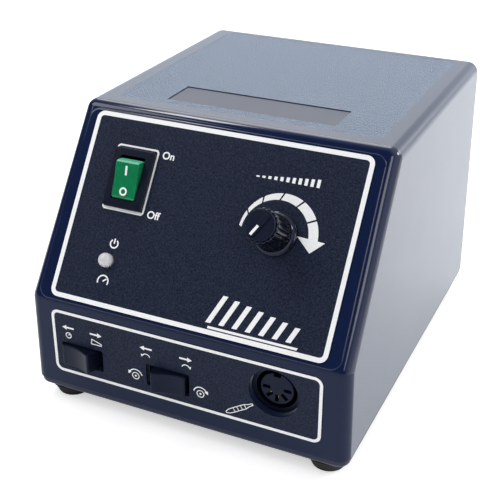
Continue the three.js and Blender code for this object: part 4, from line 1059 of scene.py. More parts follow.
@dataclass
class Feet:
    """Four rubber feet, each with a sunk screw that closes the case, given by radii and heights."""

    form: CaseForm
    top_radius: float = 8.2
    bottom_radius: float = 6.0
    tread_edge: float = 0.8
    recess: Point = (3.7, 2.6)
    head: Triple = (3.4, 0.4, 2.3)
    shank: Point = (1.5, 13.7)
    cross: float = 3.6

    def foot(self) -> Shape:
        """Returns one foot with a rounded tread, open in the middle."""
        top = self.form.foot - self.form.gap
        curve = reversed(edge_curve(self.tread_edge, 4))
        tread = [(self.bottom_radius - inward, drop) for inward, drop in curve]
        waist = [(self.bottom_radius + 1.6, top - 1.1), (self.top_radius, top - 0.5), (self.top_radius, top)]
        bore = [(SCREW_HOLE, top), (SCREW_HOLE, self.recess[1]), self.recess]
        return turned([(self.recess[0], 0), *tread, *waist, *bore], 48, looped=True)

    def screw(self) -> Shape:
        """Returns one screw, head down."""
        (head, low, high), (shank, tip) = self.head, self.shank
        profile = [(0, low), (head - 0.8, low), (head, low + 0.7), (head, high), (shank, high)]
        profile += [(shank, tip - 1.2), (0.4, tip), (0, tip)]
        return cross_screw(profile, self.cross, (low - 1, low + 0.9))

    def build(self) -> None:
        """Makes the feet and the screws in two rows of two."""
        for row, (x, y) in {"front": FOOT_AT[0], "rear": FOOT_AT[2]}.items():
            first, step = (x, self.form.front + y, 0), (-2 * x, 0, 0)
            sides = ["left", "right"]
            feet = repeated(f"feet_{row}", self.foot(), RUBBER, 2, first, step)
            settle(feet, [f"foot_{row}_{side}" for side in sides])
            screws = repeated(f"foot_screws_{row}", self.screw(), ZINC, 2, first, step)
            settle(screws, [f"foot_screw_{row}_{side}" for side in sides])


# Films and their prints


@dataclass
class Print:
    """White ink on a film, drawn as strokes and filled shapes a few hundredths of a millimetre thick."""

    low: float = -0.04
    high: float = 0.03
    lap: float = 0.01
    head_length: float = 1.7
    head_width: float = 1.9
    head_overlap: float = 0.5
    shapes: list[Shape] = field(default_factory=list)

    def strip(self, pairs: Sequence[tuple[Vector, Vector]], closed: bool = False) -> None:
        """Draws what lies between pairs of points."""
        low, high = self.low, self.high
        self.shapes.append(loft([[Vector((*left, low)), Vector((*right, low)), Vector((*right, high)),
                                  Vector((*left, high))] for left, right in pairs], closed))

    def line(self, points: Sequence[Point], width: float, closed: bool = False) -> None:
        """Draws a line of even width.

        Args:
            points: Points along its middle.
            width: Its width.
            closed: True joins its two ends.
        """
        count, pairs = len(points), []
        for index, point in enumerate(points):
            here = Vector(point)
            before = Vector(points[index - 1]) if closed or index else here
            after = Vector(points[(index + 1) % count]) if closed or index < count - 1 else here
            into, away = (here - before).normalized(), (after - here).normalized()
            along = (into + away).normalized()
            reach = width / 2 / max(along.dot(away if away.length else into), 0.4)
            across = Vector((-along.y, along.x)) * reach
            pairs.append((here + across, here - across))
        self.strip(pairs, closed)

    def fill(self, outline: Sequence[Point], lift: float = 0.0) -> None:
        """Fills an outline, a little higher where it lies over a line."""
        self.shapes.append(slab(outline, self.low, self.high + lift))

    def bar(self, left: float, base: float, width: float, height: float, lean: float = 0.0) -> None:
        """Fills a bar from its left side and its base, whose top leans to the right."""
        top, right = base + height, left + width
        self.fill([(left, base), (right, base), (right + lean, top), (left + lean, top)])

    def border(self, width: float, length: float, centre: Point, stroke: float, radius: float) -> None:
        """Draws a rounded frame round a centre."""
        shape = band(rectangle(width, length, radius, 8), stroke, self.low, self.high)
        self.shapes.append(moved(shape, shift(*centre)))

    def ring(self, centre: Point, radius: float, stroke: float) -> None:
        """Draws a full ring."""
        self.line(circle(radius, 40, centre), stroke, closed=True)

    def arc(self, centre: Point, radius: float, start: float, end: float, stroke: float) -> None:
        """Draws part of a ring between two angles in degrees."""
        angles = [math.radians(start + (end - start) * step / 20) for step in range(21)]
        self.line([(centre[0] + radius * math.cos(a), centre[1] + radius * math.sin(a)) for a in angles],
                  stroke)

    def head(self, tip: Point, degrees: float, length: float, width: float) -> None:
        """Draws an arrowhead that ends at its tip and points at an angle."""
        corners = [Vector((0, 0)), Vector((-length, width / 2)), Vector((-length, -width / 2))]
        spin = Matrix.Rotation(math.radians(degrees), 2)
        self.fill([tuple(Vector(tip) + spin @ corner) for corner in corners], self.lap)

    def arrow(self, centre: Point, length: float, degrees: float, stroke: float = 0.65) -> None:
        """Draws a straight arrow that points at an angle, and whose line ends inside its head."""
        along = Vector((math.cos(math.radians(degrees)), math.sin(math.radians(degrees))))
        tip = Vector(centre) + along * (length / 2)
        line_end = tip - along * (self.head_length - self.head_overlap)
        self.line([tuple(Vector(centre) - along * (length / 2)), tuple(line_end)], stroke)
        self.head(tuple(tip), degrees, self.head_length, self.head_width)

    def word(self, text: str, size: float, left: float, base: float) -> None:
        """Sets a word.

        Args:
            text: The word.
            size: Size of its letters.
            left: Its left end.
            base: Its base line.
        """
        curve = bpy.data.curves.new("word", "FONT")
        curve.body = text
        curve.size = size
        curve.extrude = (self.high - self.low) / 2
        curve.offset = 0.02 * size
        holder = linked("word", curve)
        mesh = evaluated(holder)
        bpy.data.objects.remove(holder)
        bpy.data.curves.remove(curve)
        self.shapes.append(moved(shape_of(mesh), shift(left, base, (self.high + self.low) / 2)))

    def finish(self, name: str, place: Matrix, body: str = ROOT) -> None:
        """Makes one piece of all that was drawn, and hands it to the frame."""
        piece = make(name, merged(*self.shapes), INK, place=place)
        settle(piece, body=body)


@dataclass
class ControlPrint(Print):
    """White marks of the slope, but for the line round its film."""

    ticks: int = 11
    bars: int = 7

    def switch_marks(self) -> None:
        """Draws the frame of the power switch, thicker below, and its two words."""
        self.border(16.4, 23.3, (-31.85, 46.45), 0.65, 1.3)
        self.bar(-39.4, 35.3, 15.0, 0.5)
        for text, base in (("On", 55.5), ("Off", 34.6)):
            self.word(text, 3.6, -22.3, base)

    def speed_scale(self) -> None:
        """Draws growing ticks, and an arc with an arrow that grows between two circles set apart."""
        outer, inner = Vector((25.1, 38.0)), Vector((23.94, 37.65))
        outer_radius, inner_radius, gap = 13.7, 11.67, 1.4
        bounds = [178.5, 153.0, 124.0, 94.0, 63.0, 31.0, -1.0]
        for start, end in zip(bounds, bounds[1:]):
            first, last, pairs = start - gap, end + gap, []
            for step in range(13):
                angle = math.radians(first + (last - first) * step / 12)
                ray = Vector((math.cos(angle), math.sin(angle)))
                pairs.append((inner + ray * inner_radius, outer + ray * outer_radius))
            self.strip(pairs)
        self.fill([(31.7, 38.9), (37.1, 34.2), (41.4, 38.4)], self.lap)
        for index in range(self.ticks):
            self.bar(13.05 + 2.1 * index, 55.4, 1.1, 0.5 + 0.22 * index)

    def lamp_signs(self) -> None:
        """Draws a power sign over the lamp and a gauge below it."""
        power, gauge, stroke = (-31.6, 23.6), (-32.2, 10.3), 0.5
        self.line([power, (power[0], power[1] + 1.8)], stroke)
        self.arc(power, 1.45, 125, 415, stroke)
        self.arc(gauge, 2.0, 205, -25, stroke)
        self.line([gauge, (gauge[0] + 1.2, gauge[1] + 1.0)], stroke)

    def slanted_bars(self) -> None:
        """Draws a row of slanted bars that get lower to the right, with a line below them."""
        for index in range(self.bars):
            height = 9.6 - 0.75 * index
            self.bar(8.2 + 4.7 * index, 5.4, 1.8, height, 0.42 * height)
        self.fill([(9.4, 3.6), (40.6, 3.6), (41.0, 4.4), (9.4, 4.4)])

    def draw(self) -> None:
        """Draws all marks."""
        self.switch_marks()
        self.speed_scale()
        self.lamp_signs()
        self.slanted_bars()


@dataclass
class SocketPrint(Print):
    """White marks of the lower face, but for the line round its film."""

    thin: float = 0.35

    def turn_sign(self, x: float, y: float, way: int) -> None:
        """Draws a burr seen from its end, with a curved arrow over it.

        Args:
            x: Place across the face.
            y: Place up the face.
            way: 1 where the arrow runs to the right and -1 where it runs to the left.
        """
        reach = 2.6
        self.ring((x, y), 1.3, 0.32)
        self.fill(circle(0.4, 16, (x, y)))
        start, end = (165, 25) if way > 0 else (15, 155)
        self.arc((x, y), reach, start, end, 0.4)
        angle = math.radians(end)
        tip = (x + reach * math.cos(angle) + way * 0.5, y + reach * math.sin(angle) - 0.8)
        self.head(tip, -60 if way > 0 else 240, 1.3, 1.4)

    def feed_signs(self) -> None:
        """Draws a dial and a pedal below the arrows of the feed paddle."""
        dial = (-44.2, 24.2)
        self.ring(dial, 1.05, self.thin)
        self.line([dial, (dial[0] + 0.6, dial[1] + 0.8)], self.thin)
        self.line([(-34.9, 23.3), (-30.9, 23.3), (-30.9, 24.0), (-34.6, 25.2)], self.thin, closed=True)

    def direction_signs(self) -> None:
        """Draws a bent arrow below each arrow of the direction paddle, and the two turning burrs."""
        for x, way in ((-13.1, -1), (2.1, 1)):
            start, end = (160, 30) if way > 0 else (20, 150)
            self.arc((x, 23.6), 1.5, start, end, self.thin)
            self.head((x + 1.8 * way, 23.7), 270 + 20 * way, 1.0, 1.1)
        self.turn_sign(-17.6, 15.0, -1)
        self.turn_sign(7.4, 15.0, 1)

    def handpiece(self) -> None:
        """Draws a plain handpiece in outline, which points up at the socket."""
        low, high = Vector((17.0, 10.6)), Vector((26.6, 16.6))
        along, length = (high - low).normalized(), (high - low).length
        across = Vector((-along.y, along.x))
        # Half the width of the outline at shares of its length
        half = [(0.0, 0.25), (0.12, 0.75), (0.3, 0.85), (0.72, 0.85), (0.84, 0.45), (1.0, 0.3)]
        path = [low + along * (share * length) + across * reach for share, reach in half]
        path += [low + along * (share * length) - across * reach for share, reach in reversed(half)]
        self.line([tuple(point) for point in path], 0.28, closed=True)
        for share in (0.3, 0.44, 0.58, 0.72):
            middle = low + along * (share * length)
            self.line([tuple(middle - across * 0.8), tuple(middle + across * 0.8)], 0.26)

    def draw(self) -> None:
        """Draws all marks."""
        for x, degrees in ((-44.2, 180), (-32.9, 0), (-13.1, 180), (2.1, 0)):
            self.arrow((x, 27.3), 4.7, degrees)
        self.feed_signs()
        self.direction_signs()
        self.handpiece()


@dataclass
class Overlays:
    """Speckled films on the slope and on the lower face, with their prints, and the bare top label."""

    form: CaseForm
    thickness: float = 0.5
    control_film: Triple = (102.4, 67.2, 35.1)
    control_line: float = 1.6
    socket_film: Triple = (101.6, 25.5, 21.05)
    socket_line: float = 1.1
    label: Triple = (63.2, 15.4, 20.0)
    corner: float = 3.0
    inset: float = 0.1
    punch: Point = (-2.0, 3.0)

    def film(self, name: str, size: Triple, side: Side, face: float, holes: Sequence[Piece]) -> None:
        """Makes a film.

        Args:
            name: Its name and that of its CAD node.
            size: Its width, its length and its middle up the side.
            side: The side that it lies on.
            face: Height of its face.
            holes: Cutters of its openings.
        """
        width, length, middle = size
        outline = rectangle(width, length, self.corner, 8)
        sheet = slab(outline, face - self.thickness, face, top=0.08, steps=2)
        piece = make(name, sheet, OVERLAY, place=side.at(0, middle))
        cut(piece, *holes)
        settle(piece, [name])

    def marks(self, ink: ControlPrint | SocketPrint, size: Triple, stroke: float, name: str,
              place: Matrix) -> None:
        """Prints the marks of a film on its face, with a line of a given stroke round its edge."""
        width, length = (reach - 2 * self.inset for reach in size[:2])
        ink.border(width, length, (0, size[2]), stroke, self.corner - self.inset)
        ink.draw()
        ink.finish(name, place)

    def top_label(self) -> None:
        """Makes the bare label in its recess on the top."""
        width, length, middle = self.label
        sheet = slab(rectangle(width, length, 0.5), -0.9, -0.5, top=0.1, steps=2)
        piece = make("top_label", sheet, LABEL, place=self.form.roof.at(0, middle))
        settle(piece, ["top_label"])

    def build(self) -> None:
        """Makes the films, the prints and the label."""
        slope, lower = self.form.slope, self.form.lower
        holes = slope_holes(slope, self.punch, OVERLAY)
        self.film("control_overlay", self.control_film, slope, SLOPE_FACE, holes)
        holes = lower_holes(lower, self.punch, OVERLAY)
        self.film("socket_overlay", self.socket_film, lower, LOWER_FACE, holes)
        face = slope.at(lift=SLOPE_FACE)
        self.marks(ControlPrint(), self.control_film, self.control_line, "control_print", face)
        face = lower.at(lift=LOWER_FACE)
        self.marks(SocketPrint(), self.socket_film, self.socket_line, "socket_print", face)
        self.top_label()


# Controls


def prism(profile: Sequence[Point], width: float, edge: float, steps: int = 5) -> Shape:
    """Returns a profile of Y and Z drawn out along X, centred, with both its rims rounded."""
    curve = edge_curve(edge, steps)
    stations = [(drop - width / 2, inward) for inward, drop in reversed(curve)]
    stations += [(width / 2 - drop, inward) for inward, drop in curve]
    return loft([[Vector((x, y, z)) for y, z in shrunk(profile, inward)] for x, inward in stations])


@dataclass
class PowerSwitch:
    """Rocker switch with a lit green lens in a black bezel."""

    form: CaseForm
    flange: Point = (15.0, 21.0)
    body: Point = (12.5, 18.7)
    opening: Point = (9.5, 15.5)
    rise: float = 2.0
    depth: float = 16.0
    floor: float = 1.5
    edge: float = 0.5
    mouth_edge: float = 0.6
    pivot: float = -1.2
    tilt: float = 12.8
    width: float = 8.9
    half_profile: tuple[Point, ...] = ((6.9, -3.4), (7.2, 1.8), (6.4, 5.2))
    half_radii: tuple[float, ...] = (0.3, 1.5, 1.1)
    valley: float = 4.7
    valley_radius: float = 30.0
    lit_end_from: float = 0.45

    def seat(self) -> Matrix:
        """Returns the place of the switch on the film."""
        return self.form.slope.at(*POWER_AT, SLOPE_FACE)

    def bezel(self) -> None:
        """Makes the bezel with its hollow body."""
        body, flange = rectangle(*self.body, 0.5), rectangle(*self.flange, 1.0)
        edge, mouth = self.mouth_edge, rectangle(*self.opening, self.mouth_edge)
        rings = [level(body, -self.depth), level(body, FLANGE_GAP), level(flange, FLANGE_GAP)]
        top = self.rise
        rings += [level(shrunk(flange, inward), top - drop) for inward, drop in edge_curve(self.edge, 4)]
        rings += [level(shrunk(mouth, inward - edge), top - drop) for drop, inward in edge_curve(edge, 4)]
        rings.append(level(mouth, self.floor - self.depth))
        piece = make("power_switch_bezel", loft(rings), BLACK_NYLON, place=self.seat())
        settle(piece, ["power_switch_body"])

    def rocker(self) -> None:
        """Makes the lens, pressed in at its lower end, rougher and painted paler on the end that stands out.
        """
        left = [(-y, z) for y, z in reversed(self.half_profile)]
        radii = [*self.half_radii, self.valley_radius, *reversed(self.half_radii)]
        profile = rounded([*self.half_profile, (0, self.valley), *left], radii, 8)
        shape = prism(profile, self.width, self.edge)
        # Faces that point up the lens get the paler end finish, a painted highlight
        for face in shape.faces:
            face.material_index = int(face.normal.y > self.lit_end_from)
        place = self.seat() @ shift(z=self.pivot) @ turn(self.tilt, "X")
        lens = make("power_rocker_lens", shape, GREEN_LENS, GREEN_END_LIT, place=place)
        settle(lens, ["power_rocker"], "power_rocker")
        self.signs(place)

    def signs(self, place: Matrix) -> None:
        """Makes the line and the ring on the two halves of the lens.

        Args:
            place: Where the lens is.
        """
        reach, height = self.half_profile[-1]
        lean = math.degrees(math.atan2(height - self.valley, reach))
        on, off = Print(), Print()
        on.line([(0, -1.6), (0, 1.6)], 0.75)
        on.finish("power_sign_on", place @ shift(0, 3.3, 4.96) @ turn(lean, "X"), "power_rocker")
        off.ring((0, 0), 1.15, 0.6)
        off.finish("power_sign_off", place @ shift(0, -3.9, 5.0) @ turn(-lean, "X"), "power_rocker")

    def build(self) -> None:
        """Makes the switch and dresses what is behind it."""
        self.bezel()
        self.rocker()
        dress(AMBER, "power_lamp")
        dress(BRASS, "power_terminal_1", "power_terminal_2", "power_terminal_3")


@dataclass
class OverloadLamp:
    """Milky lamp that stands out of the slope, held by a clip behind it."""

    form: CaseForm
    radius: float = 2.5
    rise: float = 3.4
    collar: Triple = (2.9, -8.2, -7.2)
    lead: Triple = (0.6, -14.2, -7.8)
    lead_pitch: float = 2.54
    cup: tuple[Point, ...] = ((0, -1.6), (1.2, -1.6), (1.9, 0.5), (1.7, 0.5), (0.9, -0.6), (0, -0.6))

    def build(self) -> None:
        """Makes the domed lamp with its leads, and the cup inside it."""
        dome = [(self.radius - inward, self.rise - drop) for inward, drop in edge_curve(self.radius, 12)]
        collar, low, high = self.collar
        lamp = turned([(0, low), (collar, low), (collar, high), (self.radius, high), *dome], 48)
        width, *reach = self.lead
        places = [shift(side * self.lead_pitch / 2) for side in (-1, 1)]
        leads = [moved(slab(rectangle(width, width), *reach), place) for place in places]
        place = self.form.slope.at(*LAMP_AT, SLOPE_FACE)
        piece = make("overload_lamp", merged(lamp, *leads), CLEAR_RESIN, place=place)
        settle(piece, ["overload_led"])
        core = make("overload_lamp_cup", turned(self.cup, 40), LAMP_CUP, place=place)
        settle(core)
        dress(BLACK_NYLON, "led_clip")


def fluted(radius: float, height: float, flutes: int, depth: float, steps: int, sharpness: int = 1,
           start: float = 0.0) -> Ring:
    """Makes a ring with flutes cut into it.

    Args:
        radius: Radius between the flutes.
        height: Its height.
        flutes: How many flutes.
        depth: Their depth, zero for a plain ring.
        steps: Points to each flute.
        sharpness: Power that makes the flutes narrow.
        start: Place of the first, in degrees of one flute.

    Returns:
        The ring.
    """
    points = []
    count = flutes * steps
    for step in range(count):
        angle = math.tau * step / count
        wave = (0.5 + 0.5 * math.cos(flutes * angle - math.radians(start))) ** sharpness
        reach = radius - depth * wave
        points.append(Vector((reach * math.cos(angle), reach * math.sin(angle), height)))
    return points


@dataclass
class SpeedControl:
    """Fluted knob with a flared skirt and a capped top, on the shaft of a potentiometer."""

    form: CaseForm
    skirt_radius: float = 7.3
    skirt_bore: float = 6.0
    skirt_edge: float = 0.25
    skirt_top: float = 2.2
    flare_lean: float = 62.0
    flare_steps: int = 14
    flutes_from: float = 0.7
    grip_radius: float = 5.75
    grip_edge: float = 0.5
    flutes: int = 18
    flute_depth: float = 0.35
    low: float = 0.6
    high: float = 15.8
    cap_seat: Point = (3.9, 13.7)
    shaft_bore: float = 3.3
    well: float = 3.6
    cap_radius: float = 5.1
    cap_edge: float = 0.25
    cap_low: float = 16.1
    cap_high: float = 16.95
    stem: Point = (3.6, 14.0)
    bar: Point = (2.0, 8.2)
    bar_top: float = 17.27
    turned_by: float = 150.0

    def flare(self) -> list[Triple]:
        """Returns radius, height and share of the flutes' depth up the hollow arc from skirt to grip."""
        lean = math.radians(self.flare_lean)
        sweep = (self.skirt_radius - self.skirt_edge - self.grip_radius) / (1 - math.cos(lean))
        rows = []
        for step in range(1, self.flare_steps + 1):
            share = step / self.flare_steps
            angle = lean * (1 - share)
            height = self.skirt_top + sweep * (math.sin(lean) - math.sin(angle))
            fluting = min(max((share - self.flutes_from) / 0.3, 0.0), 1.0)
            rows.append((self.grip_radius + sweep * (1 - math.cos(angle)), height, fluting))
        return rows

    def knob(self) -> Shape:
        """Returns the knob, open below and drilled for the shaft and the cap."""
        rim, crown = edge_curve(self.skirt_edge, 3), edge_curve(self.grip_edge, 4)
        rows = [(self.skirt_bore, self.low, 0.0)]
        rows += [(self.skirt_radius - inward, self.low + drop, 0.0) for inward, drop in reversed(rim)]
        rows += [(self.skirt_radius - inward, self.skirt_top - drop, 0.0) for inward, drop in rim]
        rows += self.flare()
        rows += [(self.grip_radius - inward, self.high - drop, 1.0 - inward) for inward, drop in crown]
        seat, seat_floor = self.cap_seat
        bore = [(seat, self.high), (seat, seat_floor), (self.shaft_bore, seat_floor)]
        bore += [(self.shaft_bore, self.well), (self.skirt_bore, self.well)]
        rows += [(radius, height, 0.0) for radius, height in bore]
        return loft([fluted(radius, height, self.flutes, share * self.flute_depth, 16, 4, 240)
                     for radius, height, share in rows], looped=True)

    def cap(self) -> Shape:
        """Returns the cap on its stem, with a raised edge and a bar across it."""
        radius, low, high, stem = self.cap_radius, self.cap_low, self.cap_high, self.stem
        edge = [(radius - inward, high - drop) for inward, drop in edge_curve(self.cap_edge, 3)]
        profile = [(0, stem[1]), stem, (stem[0], low), (radius, low), *edge, (radius - 0.55, high)]
        profile += [(radius - 0.75, high - 0.2), (0, high - 0.2)]
        bar = slab(rectangle(*self.bar, 0.3), low + 0.3, self.bar_top, top=0.2)
        return merged(turned(profile, 64), bar)

    def build(self) -> None:
        """Makes the knob, its cap and its pointer, and dresses the potentiometer."""
        place = self.form.slope.at(*KNOB_AT, SLOPE_FACE, self.turned_by)
        knob = make("speed_knob_grip", self.knob(), KNOB_ABS, place=place)
        settle(knob, ["speed_knob"], "speed_knob")
        cap = make("speed_knob_cap", self.cap(), CAP_ABS, place=place)
        settle(cap, ["knob_cap"], "speed_knob")
        pointer = Print()
        pointer.line([(0, 0.4), (0, self.bar[1] / 2)], 0.9)
        pointer.finish("knob_pointer", place @ shift(z=self.bar_top), "speed_knob")
        dress(ZINC, "pot_shaft", "pot_body", "pot_washer", "pot_nut")


@dataclass
class PaddleRocker:
    """Hollow-faced rocker in a slot of the lower face."""

    form: CaseForm
    name: str
    at: Point
    tilt: float
    half: float = 6.1
    rise: float = 7.68
    dip: float = 1.0
    skirt_half: float = 6.3
    skirt_drop: float = 1.5
    skirt_radius: float = 0.3
    rim_radius: float = 0.55
    edge: float = 0.4
    width: float = 7.9
    pivot: float = -4.4
    steps: int = 16

    def build(self) -> None:
        """Makes the rocker at its rest tilt."""
        face = []
        for step in range(1, self.steps):
            share = 1 - 2 * step / self.steps
            face.append((self.half * share, self.rise - self.dip * (1 - share * share)))
        right = [(self.skirt_half, -self.skirt_drop), (self.half, self.rise)]
        left = [(-x, z) for x, z in reversed(right)]
        radii = [self.skirt_radius, self.rim_radius, *[0.0] * len(face), self.rim_radius, self.skirt_radius]
        profile = rounded([*right, *face, *left], radii, 6)
        shape = moved(prism(profile, self.width, self.edge), turn(-90))
        place = self.form.lower.at(*self.at) @ shift(z=self.pivot) @ turn(self.tilt, "Y")
        piece = make(f"{self.name}_paddle", shape, BLACK_GLOSS, place=place)
        settle(piece, [f"{self.name}_rocker"], f"{self.name}_rocker")
        dress(BLACK_NYLON, f"{self.name}_switch_body")


@dataclass
class MotorSocket:
    """Round keyed socket for the plug of the motor, with five contacts in radial slots."""

    form: CaseForm
    top: float = INNER_FACE
    cup: Point = (10.2, 12.5)
    mouth_edge: float = 0.4
    flange: Point = (27.0, 19.0)
    flange_thickness: float = 1.6
    groove: Point = (7.25, -11.9)
    insert_radius: float = 5.95
    insert_edge: float = 0.35
    insert_lift: float = 0.3
    keyway: Point = (2.6, 3.0)
    slot: Point = (2.7, 1.3)
    blade: Point = (2.0, 0.6)
    slot_ring: float = 3.7
    contacts: int = 5
    contact_turn: float = -45.0

    def shell(self) -> Piece:
        """Returns the cup that holds the insert, with its flange, at the origin."""
        (radius, floor), (cup, depth), top, edge = self.groove, self.cup, self.top, self.mouth_edge
        low = top - depth
        mouth = [(radius + edge - inward, top - drop) for drop, inward in edge_curve(edge, 3)]
        profile = [(0, low), (cup, low), (cup, top), *mouth, (radius, floor), (0, floor)]
        shell = make("motor_socket_ring", turned(profile, 72), BLACK_NYLON)
        flange = slab(rectangle(*self.flange, 2.0), top - self.flange_thickness, top - 0.01, top=0.3)
        plate = make("flange", flange, BLACK_NYLON)
        cut(plate, hole("bore", circle(radius + 1.2, 72), (0, 0), (top - 3, top + 3), BLACK_NYLON))
        return join(shell, plate)

    def insert(self, low: float) -> Piece:
        """Makes the insert with its keyway and its slots.

        Args:
            low: Height of its underside.

        Returns:
            The insert, at the origin.
        """
        core = slab(circle(self.insert_radius, 72), low, self.top, top=self.insert_edge)
        insert = make("motor_socket_core", core, BLACK_GLOSS)
        keyway = hole("keyway", rectangle(*self.keyway, 0.4), (0, self.insert_radius),
                      (low - 1, self.top + 1), BLACK_GLOSS)
        slot = moved(slab(rectangle(*self.slot, 0.25), low + 1, self.top + 1), shift(self.slot_ring))
        slots = repeated("slots", slot, BLACK_GLOSS, self.contacts, turn_degrees=self.contact_turn)
        return cut(insert, keyway, slots)

    def build(self) -> None:
        """Makes the shell, the insert and the contacts."""
        place = self.form.lower.at(*SOCKET_AT)
        low = self.groove[1] + self.insert_lift
        shell = self.shell()
        shell.data.transform(place)
        settle(shell, ["motor_socket_shell"])
        insert = self.insert(low)
        insert.data.transform(place)
        settle(insert, ["motor_socket_insert"])
        blade = slab(rectangle(*self.blade, 0.12), low + 1.3, self.top - 1.2, top=0.2)
        contacts = repeated("motor_contacts", moved(blade, shift(self.slot_ring)), BRASS, self.contacts,
                            turn_degrees=self.contact_turn, place=place)
        settle(contacts, [f"motor_contact_{index + 1}" for index in range(self.contacts)])


# Back


@dataclass
class RearPanel:
    """Powder-coated steel panel with nine vents and what is mounted on it."""

    form: CaseForm
    width: float = 101.8
    length: float = 79.02
    middle: float = 47.51
    corner: float = 3.0
    thickness: float = 1.5
    inlet: Point = (28.1, 20.6)
    fuse_radius: float = 6.3
    jack_radius: float = 4.7
    vent: Point = (3.0, 20.02)
    vents: int = 9
    vent_pitch: float = 7.0
    vent_middle: float = 66.01

    def build(self) -> None:
        """Makes the panel and cuts its openings."""
        sheet = slab(rectangle(self.width, self.length, self.corner), -self.thickness, 0, top=0.15, steps=2)
        panel = make("rear_panel_sheet", sheet, PANEL, place=shift(0, self.middle))
        reach = (-self.thickness - 1, 1)
        first = (-self.vent_pitch * (self.vents - 1) / 2, self.vent_middle, 0)
        vent = slab(rectangle(*self.vent, 1.4, 6), *reach)
        cutters = [
            hole("inlet_hole", rectangle(*self.inlet, 0.3), INLET_AT, reach, PANEL),
            hole("fuse_hole", circle(self.fuse_radius, 40), FUSE_AT, reach, PANEL),
            hole("jack_hole", circle(self.jack_radius, 40), JACK_AT, reach, PANEL),
            repeated("vents", vent, PANEL, self.vents, first, (self.vent_pitch, 0, 0)),
        ]
        x, y = INLET_AT
        bore = circle(SCREW_HOLE, 24)
        cutters += [hole("screw_hole", bore, (x + way * INLET_SCREW, y), reach, PANEL) for way in (-1, 1)]
        cut(panel, *cutters)
        panel.data.transform(self.form.back.at(lift=INNER_FACE))
        settle(panel, ["rear_panel"])


@dataclass
class MainsInlet:
    """Three-pin mains inlet in a flange with two screws."""

    form: CaseForm
    flange: Point = (50.0, 22.5)
    rise: float = 2.8
    case: Point = (27.5, 20.0)
    case_top: float = 2.5
    depth: float = 16.0
    cavity: Point = (24.4, 17.0)
    cavity_floor: float = 1.8
    chamfer: float = 5.0
    pins: tuple[Point, ...] = ((7.0, -2.0), (-7.0, -2.0), (0.0, 2.0))
    pin: Point = (2.0, 4.0)
    pin_hole: Point = (2.6, 4.6)
    pin_reach: Point = (-22.0, -0.2)
    screw_half: tuple[Point, ...] = ((0, -3.9), (1.5, -3.9), (1.5, 3.1), (2.9, 3.1), (2.9, 3.6), (2.3, 4.1),
                                     (1.3, 4.3), (0, 4.3))
    cross: float = 3.4

    def body(self) -> Piece:
        """Returns the moulded body with its keyed cavity and its holes, at the origin."""
        plate = slab(rectangle(*self.flange, 4.0, 8), FLANGE_GAP, self.rise, top=0.6)
        body = make("mains_inlet_body", plate, BLACK_NYLON)
        join(body, make("case", slab(rectangle(*self.case, 1.0), -self.depth, self.case_top), BLACK_NYLON))
        x, y, cut_off = self.cavity[0] / 2, self.cavity[1] / 2, self.chamfer
        corners = [(-x, -y), (x, -y), (x, y - cut_off), (x - cut_off, y), (cut_off - x, y), (-x, y - cut_off)]
        inside, through = (self.cavity_floor - self.depth, 5), (-self.depth - 1, 2.5 - self.depth)
        bore, slot = circle(SCREW_HOLE, 24), rectangle(*self.pin_hole)
        cutters = [hole("cavity", rounded(corners, 0.8, 5), (0, 0), inside, BLACK_NYLON)]
        cutters += [hole("screw_hole", bore, (way * INLET_SCREW, 0), (-1, 5), BLACK_NYLON) for way in (-1, 1)]
        cutters += [hole("pin_hole", slot, pin, through, BLACK_NYLON) for pin in self.pins]
        return cut(body, *cutters)

    def build(self) -> None:
        """Makes the inlet, its pins and its screws."""
        seat = self.form.back.at(*INLET_AT, INNER_FACE)
        body = self.body()
        body.data.transform(seat)
        settle(body, ["mains_inlet"])
        blade = rectangle(*self.pin, 0.3)
        blades = [moved(slab(blade, *self.pin_reach, top=0.7), shift(*at)) for at in self.pins]
        pins = make("inlet_pins", merged(*blades), ZINC, place=seat)
        settle(pins, ["inlet_pin_line", "inlet_pin_neutral", "inlet_pin_earth"])
        screw = cross_screw(self.screw_half, self.cross, (3.5, 6))
        first, step = (-INLET_SCREW, 0, 0), (2 * INLET_SCREW, 0, 0)
        screws = repeated("inlet_screws", screw, ZINC, 2, first, step, place=seat)
        settle(screws, ["inlet_screw_left", "inlet_screw_right"])


